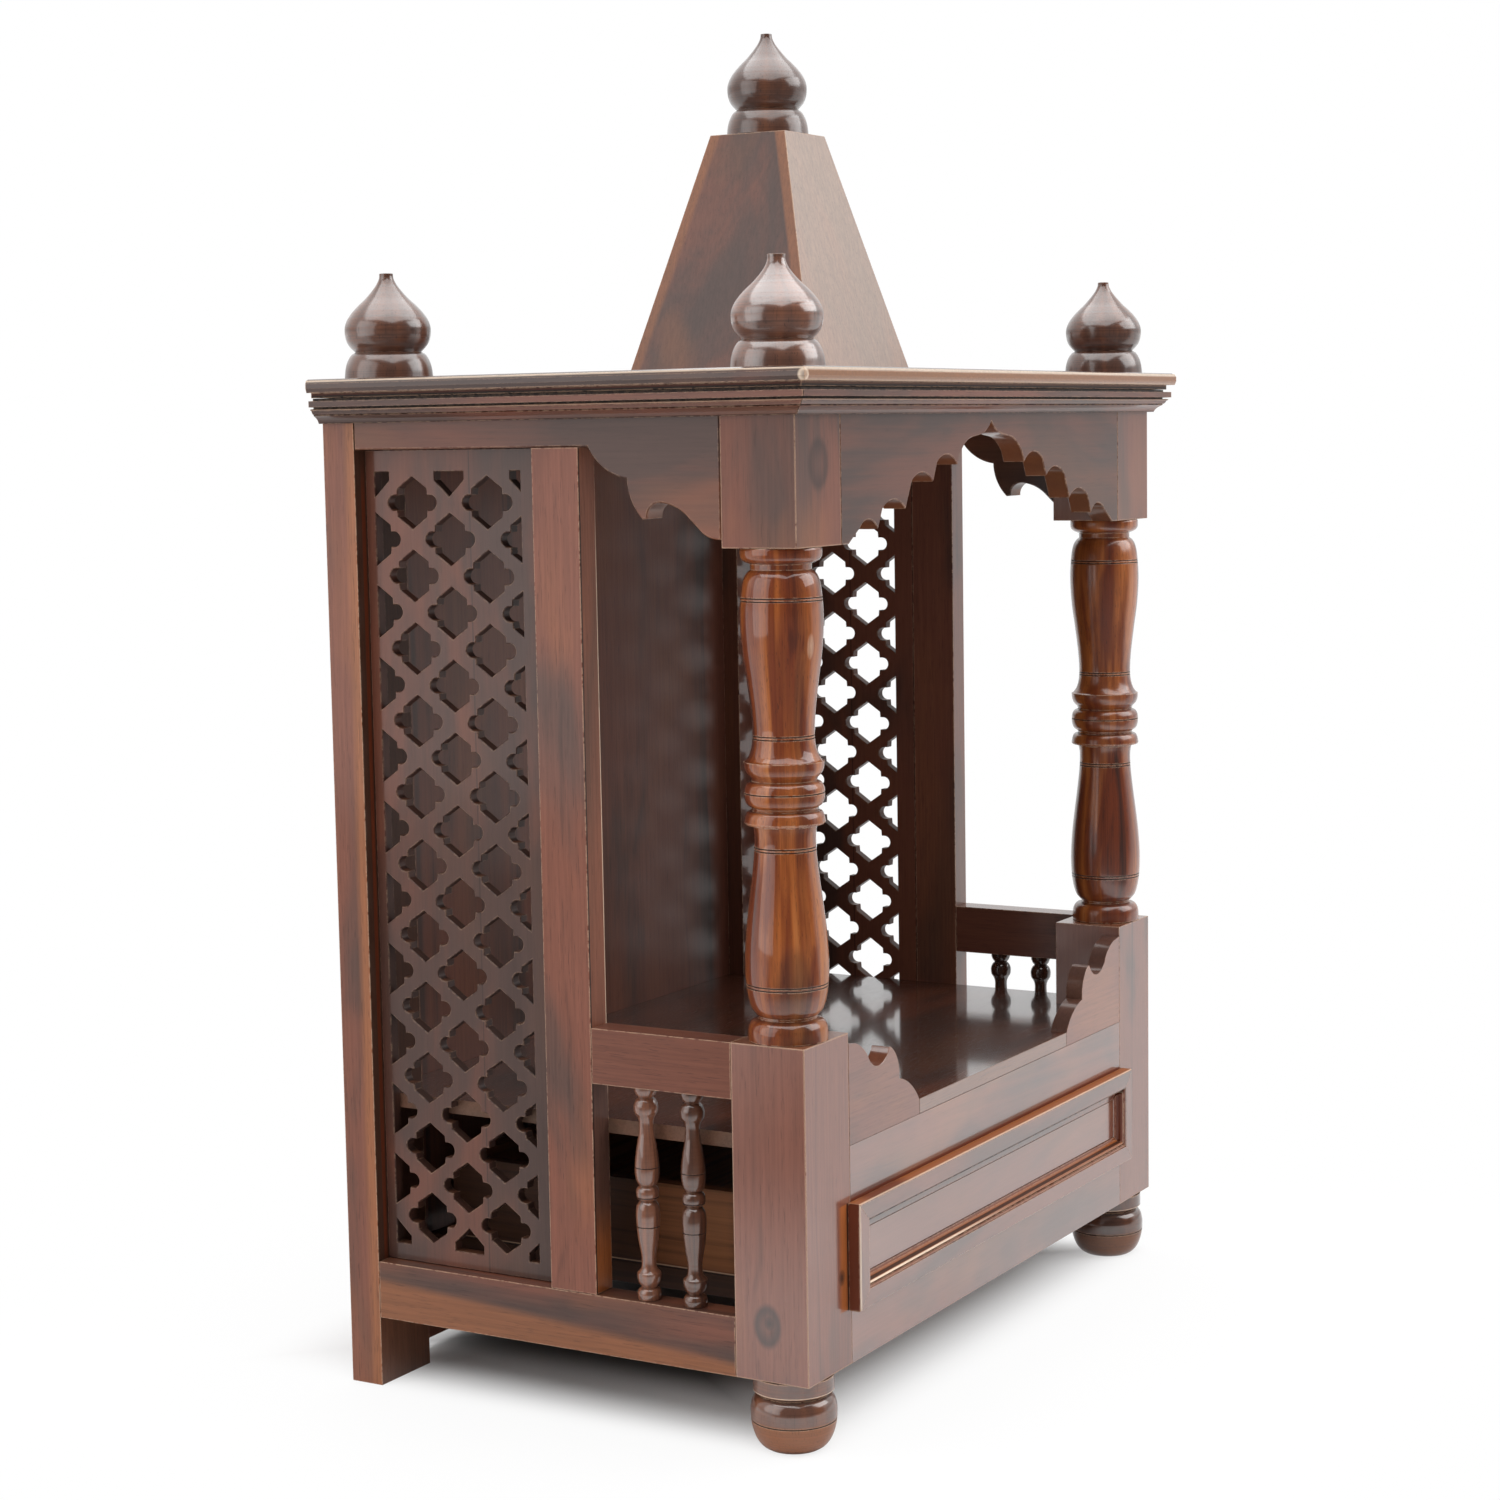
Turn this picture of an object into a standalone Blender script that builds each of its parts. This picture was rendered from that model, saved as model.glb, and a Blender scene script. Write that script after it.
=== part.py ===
"""Pooja mandir, a small wooden home shrine with a pyramid spire and one drawer.

The shrine stands on two turned bun feet in front and on its two rear posts behind.
The origin lies on the floor under the middle of the whole outline. X runs to the
right, the front faces -Y and Z points up. All lengths are in metres.
"""

import math

import bmesh
import bpy
from mathutils import Vector

# Clearance between wooden pieces that touch each other
GAP = 0.0003

# Carcass outline and boards
BODY_WIDTH = 0.5740
BODY_DEPTH = 0.3714
BOARD = 0.0200
CARCASS_BOTTOM = 0.0495

# Top plate and cornice
PLATE_UNDERSIDE = 0.6943
PLATE_THICKNESS = 0.0127
PLATE_OVERHANG = 0.0177
PLATE_SHADOW_STEP = 0.0035
PLATE_SHADOW_SETBACK = 0.0060
PLATE_NOSING = 0.0030
PLATE_NOSING_EASE = 0.3
CORNICE_HEIGHT = 0.0174
CORNICE_PROJECTION = 0.0147
CORNICE_TOE = 0.0040
CORNICE_COVE_HEIGHT = 0.52
CORNICE_COVE_REACH = 0.70
CORNICE_COVE_DEPTH = 0.0016
CORNICE_QUIRK_REACH = 0.80
CORNICE_QUIRK_RISE = 0.0012
CORNICE_OGEE_DEPTH = 0.0014
CORNICE_FILLET = 0.0022
CORNICE_STEPS = 4

# Front corner posts, their turned columns and the blocks over them
POST_WIDTH = 0.0598
POST_DEPTH = 0.0546
POST_TOP = 0.2730
TOP_BLOCK_BOTTOM = 0.5930
TURNING_AXIS_INSET = 0.0260
COLUMN_RADIUS = 0.0267
FOOT_RADIUS = 0.0278
FOOT_HEIGHT = CARCASS_BOTTOM - GAP

# Side frames
REAR_POST_WIDTH = 0.0570
REAR_POST_DEPTH = 0.0261
MIDDLE_STILE_WIDTH = 0.0365
JALI_OPENING_WIDTH = 0.1461
SIDE_RAIL_HEIGHT = 0.0405
TOP_RAIL_BOTTOM = 0.6587
ARM_RAIL_BOTTOM = 0.2352
BALUSTER_COUNT = 2
BALUSTER_RADIUS = 0.0084

# Pierced jali panel
JALI_THICKNESS = 0.0082
JALI_SETBACK = 0.0115
JALI_COLUMN_PITCH = 0.0311
JALI_ROW_PITCH = 0.0499
JALI_COLUMNS = 4
JALI_ROWS = 11
JALI_TOP_MARGIN = 0.0150
JALI_BOTTOM_MARGIN = 0.0120
JALI_FRONT_MARGIN = 0.0038
JALI_REAR_SHIFT = 0.0025
MOTIF_HALF_HEIGHT = 0.0179
MOTIF_CUT_EXTRA = 0.0030
MOTIF_SHOULDER = 0.0120
MOTIF_SHOULDER_RISE = 0.0097
MOTIF_LOBE_REACH = 0.0203
MOTIF_LOBE_HALF = 0.0052
MOTIF_LOBE_CORNER = (0.40, 0.85)

# Cusped bracket under the front end of a side top rail
BRACKET_STEPS = 5
SIDE_BRACKET_RAISE = 0.0055
# Runs from the middle stile and drops under the rail, in shares of the bracket
SIDE_BRACKET_CURVES = (
    ((0.070, 0.0), None),
    ((0.344, 0.347), 0.0045),
    ((0.453, 0.787), 0.0029),
    ((0.487, 0.780), None),
    ((0.601, 0.613), -0.0042),
    ((0.778, 0.776), -0.0018),
    ((0.861, 0.920), None),
    ((1.0, 1.0), 0.0016),
)

# Front rails, brackets, platform and back
LOWER_RAIL_TOP = 0.0880
UPPER_RAIL_BOTTOM = 0.1570
PLATFORM_TOP = 0.2075
PLATFORM_THICKNESS = 0.0105
BRACKET_LENGTH = 0.1024
BRACKET_THICKNESS = 0.0135
BRACKET_DROP = 0.0063
# Runs from the post and heights over the rail, in shares of the bracket, and bulges
BRACKET_CURVES = (
    ((0.710, 0.444), -0.0036),
    ((0.593, 0.791), -0.0042),
    ((0.571, 0.793), None),
    ((0.267, 0.800), 0.0098),
    ((0.097, 0.962), -0.0015),
    ((0.0, 0.985), None),
)
BACK_PANEL_FACE = 0.3590
BACK_PANEL_THICKNESS = 0.0090
BACK_RAIL_BOTTOM = 0.0150
BACK_RAIL_TOP = 0.0880
BACK_RAIL_THICKNESS = 0.0190

# Cusped arch in the front frieze, in shares of its half span and of its rise
FRIEZE_THICKNESS = 0.0170
ARCH_APEX = 0.6712
ARCH_START = ((0.045, 0.0), (0.082, 0.070), (0.112, 0.120))
ARCH_TEETH = ((0.226, 0.105), (0.404, 0.262), (0.589, 0.482), (0.757, 0.622))
ARCH_RISERS = ((0.255, 0.272), (0.445, 0.490), (0.616, 0.645))
ARCH_CROWN = ((0.776, 0.725), (0.806, 0.795), (0.846, 0.850), (0.916, 0.880), (0.952, 0.902),
              (0.987, 0.962), (1.0, 1.0))
ARCH_SCALLOP_BULGE = 0.080
SCALLOP_STEPS = 5

# Spire and turned finials
SPIRE_BASE_WIDTH = 0.1536
SPIRE_BASE_DEPTH = 0.1526
SPIRE_TOP_WIDTH = 0.0600
SPIRE_TOP_DEPTH = 0.0620
SPIRE_HEIGHT = 0.1740
SPIRE_SET_BACK = 0.0018
FINIAL_HEIGHT = 0.0728
FINIAL_RADIUS = 0.0305
REAR_FINIAL_INSET = 0.0385

# Drawer
DRAWER_FRONT_OVERLAP = 0.0038
DRAWER_FRONT_BOTTOM = 0.0866
DRAWER_FRONT_TOP = 0.1593
DRAWER_FRONT_THICKNESS = 0.0090
DRAWER_FRAME_STRIP = 0.0170
DRAWER_FRAME_BEVEL = 0.0060
DRAWER_PANEL_RECESS = 0.0050
DRAWER_RUNNING_CLEARANCE = 0.0050
DRAWER_SIDE_CLEARANCE = 0.0110
DRAWER_BOX_DEPTH = 0.3300
DRAWER_SIDE_THICKNESS = 0.0100
DRAWER_BOTTOM_THICKNESS = 0.0050
DRAWER_BOTTOM_RAISE = 0.0040
RUNNER_WIDTH = 0.0200
RUNNER_HEIGHT = 0.0150

# Facets round the turned pieces, and the angle in degrees that stays a sharp edge
SHARP_ANGLE = 38
MERGE_DISTANCE = 0.00001
COLUMN_SIDES = 18
FINIAL_SIDES = 18
BALUSTER_SIDES = 10

# Planes that the pieces share
LEFT = -BODY_WIDTH / 2
FRONT = (PLATE_OVERHANG - BODY_DEPTH) / 2
BACK = FRONT + BODY_DEPTH
PLATE_MIDDLE_Y = (FRONT - PLATE_OVERHANG + BACK) / 2
BOARD_TOP = PLATE_UNDERSIDE - GAP
PLATE_TOP = PLATE_UNDERSIDE + PLATE_THICKNESS
REAR_POST_FACE = BACK - REAR_POST_DEPTH
STILE_REAR = REAR_POST_FACE - JALI_OPENING_WIDTH
STILE_FRONT = STILE_REAR - MIDDLE_STILE_WIDTH
POST_REAR = FRONT + POST_DEPTH
SIDE_RAIL_TOP = CARCASS_BOTTOM + SIDE_RAIL_HEIGHT
PLATFORM_UNDERSIDE = PLATFORM_TOP - PLATFORM_THICKNESS
BACK_PANEL_Y = FRONT + BACK_PANEL_FACE

LACQUER_RED = ("lacquered_sheesham", (0.155, 0.062, 0.036), 0.30)
LACQUER_DARK = ("dark_heartwood", (0.085, 0.038, 0.025), 0.28)
LACQUER_TURNED = ("turned_sheesham", (0.170, 0.058, 0.026), 0.22)
PLAIN_INSIDE = ("unlacquered_inside", (0.210, 0.130, 0.080), 0.60)


def clear_scene():
    for old in list(bpy.data.objects):
        bpy.data.objects.remove(old, do_unlink=True)


def material(finish):
    """Principled material for one finish, made once."""
    name, colour, roughness = finish
    found = bpy.data.materials.get(name)
    if found:
        return found
    made = bpy.data.materials.new(name)
    made.use_nodes = True
    shader = made.node_tree.nodes["Principled BSDF"]
    shader.inputs["Base Color"].default_value = (*colour, 1.0)
    shader.inputs["Roughness"].default_value = roughness
    shader.inputs["Metallic"].default_value = 0.0
    return made


def add_object(name, bm, finish, parent, location=(0.0, 0.0, 0.0), smooth=None):
    """Object from a bmesh, with its faces turned outward."""
    bmesh.ops.recalc_face_normals(bm, faces=bm.faces)
    mesh = bpy.data.meshes.new(name)
    bm.to_mesh(mesh)
    bm.free()
    mesh.materials.append(material(finish))
    if smooth is not None:
        mesh.shade_smooth()
        mesh.set_sharp_from_angle(angle=math.radians(smooth))
    made = bpy.data.objects.new(name, mesh)
    made.location = location
    made.parent = parent
    bpy.context.scene.collection.objects.link(made)
    return made


def board(name, x_range, y_range, z_range, finish, parent):
    """Plain rectangular board, with its origin at its centre."""
    low = Vector((x_range[0], y_range[0], z_range[0]))
    high = Vector((x_range[1], y_range[1], z_range[1]))
    bm = bmesh.new()
    bmesh.ops.create_cube(bm, size=1.0)
    bmesh.ops.scale(bm, vec=high - low, verts=bm.verts)
    return add_object(name, bm, finish, parent, (low + high) / 2)


def sawn_board(name, outline, axis, start, thickness, finish, parent, holes=()):
    """Board sawn to an outline and extruded along X, Y or Z.

    The outline's pairs are (y, z) along X, (x, z) along Y and (x, y) along Z.
    """
    place = {
        "X": lambda a, b: (0.0, a, b),
        "Y": lambda a, b: (a, 0.0, b),
        "Z": lambda a, b: (a, b, 0.0),
    }[axis]
    bm = bmesh.new()
    edges = []
    for loop in (outline, *holes):
        verts = [bm.verts.new(place(a, b)) for a, b in loop]
        edges += [bm.edges.new((v, verts[i - 1])) for i, v in enumerate(verts)]
    bmesh.ops.triangle_fill(bm, use_beauty=True, use_dissolve=False, edges=edges)
    grown = bmesh.ops.extrude_face_region(bm, geom=bm.faces[:])
    moved = [item for item in grown["geom"] if isinstance(item, bmesh.types.BMVert)]
    step = {"X": (thickness, 0, 0), "Y": (0, thickness, 0), "Z": (0, 0, thickness)}[axis]
    bmesh.ops.translate(bm, vec=step, verts=moved)
    offset = {"X": (start, 0, 0), "Y": (0, start, 0), "Z": (0, 0, start)}[axis]
    return add_object(name, bm, finish, parent, offset)


def turned(name, profile, sides, finish, parent, location):
    """Turned piece from a profile of (radius, height), top to bottom, spun round Z."""
    bm = bmesh.new()
    path = [(0.0, profile[0][1]), *profile, (0.0, profile[-1][1])]
    verts = [bm.verts.new((radius, 0.0, height)) for radius, height in path]
    edges = [bm.edges.new(pair) for pair in zip(verts, verts[1:])]
    bmesh.ops.spin(bm, geom=verts + edges, cent=(0, 0, 0), axis=(0, 0, 1),
                   angle=math.tau, steps=sides, use_merge=True, use_duplicate=False)
    bmesh.ops.remove_doubles(bm, verts=bm.verts, dist=MERGE_DISTANCE)
    return add_object(name, bm, finish, parent, location, smooth=SHARP_ANGLE)


def arc(start, end, sagitta, steps):
    """Points after start up to end on a circle; a positive sagitta bulges left."""
    a, b = Vector(start), Vector(end)
    chord = b - a
    half = chord.length / 2
    radius = (half * half + sagitta * sagitta) / (2 * abs(sagitta))
    left = Vector((-chord.y, chord.x)).normalized()
    side = 1 if sagitta > 0 else -1
    centre = (a + b) / 2 + left * side * (abs(sagitta) - radius)
    begin, finish = a - centre, b - centre
    sweep = begin.angle_signed(finish)
    points = []
    for i in range(1, steps + 1):
        turn = -sweep * i / steps
        cos, sin = math.cos(turn), math.sin(turn)
        points.append((centre.x + begin.x * cos - begin.y * sin,
                       centre.y + begin.x * sin + begin.y * cos))
    return points


def mirrored(side, near, far):
    """X range on the left (side -1) or right (side 1) at two depths from the face."""
    face = side * BODY_WIDTH / 2
    ends = (face - side * near, face - side * far)
    return min(ends), max(ends)


def build_top_plate(carcass):
    """Plate with a nosed edge on a narrow shadow step, flush behind."""
    low_x = LEFT - PLATE_OVERHANG
    front_y = FRONT - PLATE_OVERHANG
    step = PLATE_SHADOW_SETBACK
    bm = bmesh.new()
    rings = (
        (step, PLATE_UNDERSIDE),
        (step, PLATE_UNDERSIDE + PLATE_SHADOW_STEP),
        (PLATE_NOSING * PLATE_NOSING_EASE, PLATE_UNDERSIDE + PLATE_SHADOW_STEP),
        (0.0, PLATE_UNDERSIDE + PLATE_SHADOW_STEP + PLATE_NOSING),
        (0.0, PLATE_TOP - PLATE_NOSING),
        (PLATE_NOSING * PLATE_NOSING_EASE, PLATE_TOP - PLATE_NOSING * PLATE_NOSING_EASE),
        (PLATE_NOSING, PLATE_TOP),
    )
    layers = []
    for inset, height in rings:
        layers.append([bm.verts.new(spot) for spot in (
            (low_x + inset, BACK, height),
            (-low_x - inset, BACK, height),
            (-low_x - inset, front_y + inset, height),
            (low_x + inset, front_y + inset, height),
        )])
    for lower, upper in zip(layers, layers[1:]):
        for i in range(4):
            j = (i + 1) % 4
            bm.faces.new((lower[i], lower[j], upper[j], upper[i]))
    bm.faces.new(layers[0])
    bm.faces.new(layers[-1])
    add_object("top_plate", bm, LACQUER_RED, carcass)


def cornice_profile():
    """Cornice section as (reach from the face, height), from the toe up."""
    bottom = PLATE_UNDERSIDE - CORNICE_HEIGHT
    top = PLATE_UNDERSIDE - GAP
    middle = bottom + CORNICE_HEIGHT * CORNICE_COVE_HEIGHT
    reach = CORNICE_PROJECTION
    quirk = (reach * CORNICE_QUIRK_REACH, middle + CORNICE_QUIRK_RISE)
    cove = arc((CORNICE_TOE, bottom), (reach * CORNICE_COVE_REACH, middle),
               CORNICE_COVE_DEPTH, CORNICE_STEPS)
    ogee = arc(quirk, (reach, top - CORNICE_FILLET), -CORNICE_OGEE_DEPTH, CORNICE_STEPS)
    return [(GAP, bottom), (CORNICE_TOE, bottom), *cove, quirk, *ogee, (reach, top), (GAP, top)]


def build_cornice(carcass):
    """Moulding under the plate on three sides, mitred at the two front corners."""
    profile = cornice_profile()
    runs = {
        "cornice_front": lambda reach: ((LEFT - reach + GAP, FRONT - reach),
                                        (-LEFT + reach - GAP, FRONT - reach)),
        "cornice_left": lambda reach: ((LEFT - reach, FRONT - reach + GAP), (LEFT - reach, BACK)),
        "cornice_right": lambda reach: ((-LEFT + reach, FRONT - reach + GAP), (-LEFT + reach, BACK)),
    }
    for name, ends in runs.items():
        bm = bmesh.new()
        rings = []
        for side in (0, 1):
            rings.append([bm.verts.new((*ends(reach)[side], height)) for reach, height in profile])
        for i in range(len(profile)):
            j = (i + 1) % len(profile)
            bm.faces.new((rings[0][i], rings[0][j], rings[1][j], rings[1][i]))
        bm.faces.new(rings[0])
        bm.faces.new(rings[1])
        add_object(name, bm, LACQUER_RED, carcass)


def finial_profile():
    """Onion finial over a round base, in shares of its radius and height."""
    radius, height = FINIAL_RADIUS, FINIAL_HEIGHT
    return [(radius * r, height * z) for r, z in (
        (0.17, 1.00), (0.20, 0.965), (0.29, 0.90), (0.53, 0.79), (0.76, 0.68), (0.93, 0.56),
        (1.00, 0.44), (0.97, 0.35), (0.86, 0.275), (0.76, 0.245), (0.80, 0.205),
        (0.93, 0.16), (1.00, 0.085), (1.02, 0.0))]


def build_spire(carcass):
    """Pyramid spire with one finial on top, and four finials at the plate's corners."""
    centre_y = PLATE_MIDDLE_Y + SPIRE_SET_BACK
    bm = bmesh.new()
    layers = []
    for width, depth, height in ((SPIRE_BASE_WIDTH, SPIRE_BASE_DEPTH, 0.0),
                                 (SPIRE_TOP_WIDTH, SPIRE_TOP_DEPTH, SPIRE_HEIGHT)):
        layers.append([bm.verts.new((sx * width / 2, sy * depth / 2, height))
                       for sx, sy in ((-1, -1), (1, -1), (1, 1), (-1, 1))])
    for i in range(4):
        j = (i + 1) % 4
        bm.faces.new((layers[0][i], layers[0][j], layers[1][j], layers[1][i]))
    bm.faces.new(layers[0])
    bm.faces.new(layers[1])
    add_object("spire", bm, LACQUER_DARK, carcass, (0.0, centre_y, PLATE_TOP + GAP))

    inset = BODY_WIDTH / 2 - TURNING_AXIS_INSET
    front_y = FRONT + TURNING_AXIS_INSET
    rear_y = BACK - REAR_FINIAL_INSET
    seats = {
        "spire_finial": (0.0, centre_y, PLATE_TOP + SPIRE_HEIGHT + 2 * GAP),
        "front_left_finial": (-inset, front_y, PLATE_TOP + GAP),
        "front_right_finial": (inset, front_y, PLATE_TOP + GAP),
        "rear_left_finial": (-inset, rear_y, PLATE_TOP + GAP),
        "rear_right_finial": (inset, rear_y, PLATE_TOP + GAP),
    }
    for name, seat in seats.items():
        turned(name, finial_profile(), FINIAL_SIDES, LACQUER_TURNED, carcass, seat)


def arch_half_outline():
    """Left half of the cusped arch as (x, z), from its springing to its apex."""
    left = LEFT + POST_WIDTH + GAP
    rise = ARCH_APEX - TOP_BLOCK_BOTTOM

    def spot(share):
        return left * (1 - share[0]), TOP_BLOCK_BOTTOM + rise * share[1]

    points = [spot((0.0, 0.0)), *map(spot, ARCH_START)]
    for i, tooth in enumerate(ARCH_TEETH):
        points += arc(points[-1], spot(tooth), rise * ARCH_SCALLOP_BULGE, SCALLOP_STEPS)
        points += map(spot, ARCH_RISERS[i:i + 1])
    return points + [spot(share) for share in ARCH_CROWN]


def build_frieze(carcass):
    """Front board with its cusped arch, between the two upper corner blocks."""
    half = arch_half_outline()
    other = [(-x, z) for x, z in reversed(half[:-1])]
    edge = -half[0][0]
    outline = half + other + [(edge, BOARD_TOP), (-edge, BOARD_TOP)]
    sawn_board("frieze_front", outline, "Y", FRONT, FRIEZE_THICKNESS, LACQUER_DARK, carcass)
    for side, word in ((-1, "left"), (1, "right")):
        board(f"upper_{word}_block", mirrored(side, 0.0, POST_WIDTH), (FRONT, POST_REAR),
              (TOP_BLOCK_BOTTOM, BOARD_TOP), LACQUER_RED, carcass)


def column_profile():
    """Turned column, top to bottom, in shares of its radius and length."""
    length = TOP_BLOCK_BOTTOM - POST_TOP - 2 * GAP
    top_collar = [(0.985, 1.0), (0.981, 0.984), (0.918, 0.972), (0.742, 0.963)]
    upper_vase = [(0.742, 0.956), (0.869, 0.942), (0.944, 0.912), (0.966, 0.860),
                  (0.921, 0.795), (0.839, 0.733), (0.749, 0.665), (0.723, 0.622),
                  (0.816, 0.588)]
    beads = [(0.978, 0.574), (0.978, 0.561), (0.809, 0.536), (0.966, 0.519),
             (0.981, 0.500), (0.816, 0.474), (0.981, 0.448), (0.981, 0.437),
             (0.764, 0.418)]
    lower_vase = [(0.749, 0.388), (0.801, 0.346), (0.888, 0.285), (0.959, 0.223),
                  (1.000, 0.162), (0.974, 0.110), (0.921, 0.079), (0.816, 0.055),
                  (0.697, 0.042)]
    foot_collar = [(0.831, 0.034), (0.951, 0.022), (0.989, 0.008), (0.981, 0.0)]
    shape = top_collar + upper_vase + beads + lower_vase + foot_collar
    return [(COLUMN_RADIUS * radius, share * length) for radius, share in shape]


def foot_profile():
    """Bun foot under its short collar, in shares of its radius and height."""
    shape = ((0.971, 1.0), (0.971, 0.86), (0.856, 0.80), (0.942, 0.72), (1.000, 0.54),
             (0.978, 0.34), (0.863, 0.14), (0.629, 0.0))
    return [(FOOT_RADIUS * radius, share * FOOT_HEIGHT) for radius, share in shape]


def build_front_corners(carcass):
    """Front posts with a turned column on each and a bun foot under each."""
    for side, word in ((-1, "left"), (1, "right")):
        axis_x = side * (BODY_WIDTH / 2 - TURNING_AXIS_INSET)
        axis_y = FRONT + TURNING_AXIS_INSET
        board(f"front_{word}_post", mirrored(side, 0.0, POST_WIDTH), (FRONT, POST_REAR),
              (CARCASS_BOTTOM, POST_TOP), LACQUER_RED, carcass)
        turned(f"{word}_column", column_profile(), COLUMN_SIDES, LACQUER_TURNED, carcass,
               (axis_x, axis_y, POST_TOP + GAP))
        turned(f"front_{word}_foot", foot_profile(), COLUMN_SIDES, LACQUER_TURNED, carcass,
               (axis_x, axis_y, 0.0))


def curved(points, curves, place):
    """Outline carried on over placed shares; a curve without a bulge is a straight line."""
    for share, bulge in curves:
        spot = place(share)
        points += arc(points[-1], spot, bulge, BRACKET_STEPS) if bulge else [spot]
    return points


def side_bracket_outline():
    """Cusped lower edge of a side top rail as (y, z), from the middle stile forward."""
    run = STILE_FRONT - POST_REAR - GAP
    drop = TOP_RAIL_BOTTOM - TOP_BLOCK_BOTTOM - SIDE_BRACKET_RAISE

    def spot(share):
        return STILE_FRONT - run * share[0], TOP_RAIL_BOTTOM - drop * share[1]

    return curved([(STILE_FRONT, TOP_RAIL_BOTTOM)], SIDE_BRACKET_CURVES, spot)


def build_side_frames(carcass):
    """Rear post, stiles and rails of the left and right side."""
    front = POST_REAR + GAP
    rear = REAR_POST_FACE - GAP
    edge = side_bracket_outline()
    rail = [(rear, TOP_RAIL_BOTTOM), *edge, (front, BOARD_TOP), (rear, BOARD_TOP)]
    for side, word in ((-1, "left"), (1, "right")):
        thin = mirrored(side, 0.0, BOARD)
        board(f"rear_{word}_post", mirrored(side, 0.0, REAR_POST_WIDTH),
              (REAR_POST_FACE, BACK), (0.0, BOARD_TOP), LACQUER_RED, carcass)
        board(f"{word}_bottom_rail", thin, (front, rear), (CARCASS_BOTTOM, SIDE_RAIL_TOP),
              LACQUER_DARK, carcass)
        board(f"{word}_middle_stile", thin, (STILE_FRONT, STILE_REAR),
              (SIDE_RAIL_TOP + GAP, TOP_RAIL_BOTTOM - GAP), LACQUER_RED, carcass)
        board(f"{word}_arm_rail", thin, (front, STILE_FRONT - GAP),
              (ARM_RAIL_BOTTOM, POST_TOP), LACQUER_RED, carcass)
        sawn_board(f"{word}_top_rail", rail, "X", thin[0], BOARD, LACQUER_DARK, carcass)


def baluster_profile():
    """Small double-vase baluster of the side window, as (radius, height), top to bottom."""
    length = ARM_RAIL_BOTTOM - SIDE_RAIL_TOP - 2 * GAP
    shape = ((0.92, 1.0), (0.60, 0.948), (0.97, 0.915), (0.97, 0.885), (0.60, 0.848),
             (0.62, 0.79), (0.86, 0.71), (1.00, 0.61), (0.62, 0.535), (0.92, 0.515),
             (0.92, 0.485), (0.62, 0.465), (1.00, 0.39), (0.86, 0.29), (0.62, 0.21),
             (0.60, 0.152), (0.97, 0.115), (0.60, 0.052), (0.92, 0.0))
    return [(BALUSTER_RADIUS * radius, share * length) for radius, share in shape]


def build_balusters(carcass):
    """Two small balusters in the window under each arm rail."""
    bay = STILE_FRONT - POST_REAR
    for side, word in ((-1, "left"), (1, "right")):
        for i in range(BALUSTER_COUNT):
            y = POST_REAR + bay * (i + 1) / (BALUSTER_COUNT + 1)
            seat = (side * (BODY_WIDTH - BOARD) / 2, y, SIDE_RAIL_TOP + GAP)
            turned(f"{word}_baluster_{i + 1}", baluster_profile(), BALUSTER_SIDES,
                   LACQUER_TURNED, carcass, seat)


def motif(centre_y, centre_z, lobed):
    """One pierced jali hole, pointed above and below; a lobed one is rounded each side."""
    cut, rise = MOTIF_LOBE_CORNER
    quarter = [(0.0, MOTIF_HALF_HEIGHT), (MOTIF_SHOULDER, MOTIF_SHOULDER_RISE)]
    if lobed:
        quarter += [(MOTIF_SHOULDER, MOTIF_LOBE_HALF),
                    (MOTIF_LOBE_REACH - MOTIF_LOBE_HALF * cut, MOTIF_LOBE_HALF * rise),
                    (MOTIF_LOBE_REACH, 0.0)]
    else:
        quarter[0] = (0.0, MOTIF_HALF_HEIGHT + MOTIF_CUT_EXTRA)
    right = quarter + [(a, -b) for a, b in reversed(quarter) if b]
    outline = right + [(-a, b) for a, b in reversed(right[1:-1])]
    return [(centre_y + a, centre_z + b) for a, b in outline]


def clipped(outline, axis, limit, keep):
    """Outline cut at one straight line; keep is 1 for the far side and -1 for the near."""
    result = []
    for i, point in enumerate(outline):
        before = outline[i - 1]
        inside = (point[axis] - limit) * keep >= 0
        was_inside = (before[axis] - limit) * keep >= 0
        if inside != was_inside:
            share = (limit - before[axis]) / (point[axis] - before[axis])
            result.append(tuple(b + (p - b) * share for b, p in zip(before, point)))
        if inside:
            result.append(point)
    return [point for i, point in enumerate(result) if math.dist(point, result[i - 1]) > GAP]


def jali_holes(centre_y, top, bottom):
    """Staggered rows of motifs, cut straight at the border of the pattern."""
    half = JALI_COLUMN_PITCH * JALI_COLUMNS / 2
    middle = (top + bottom) / 2
    border = ((0, centre_y - half + JALI_FRONT_MARGIN, 1), (0, centre_y + half, -1),
              (1, bottom, 1), (1, top, -1))
    holes = []
    for row in range(-1, 2 * JALI_ROWS):
        z = middle + (JALI_ROWS - 1 - row) * JALI_ROW_PITCH / 2
        lobed = bottom + MOTIF_LOBE_HALF < z < top - MOTIF_LOBE_HALF
        for column in range(JALI_COLUMNS + 1):
            if (row + column) % 2 == 0:
                continue
            y = centre_y - half + column * JALI_COLUMN_PITCH
            outline = motif(y, z, lobed)
            for axis, limit, keep in border:
                outline = clipped(outline, axis, limit, keep)
            if outline:
                holes.append(outline)
    return holes


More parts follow.
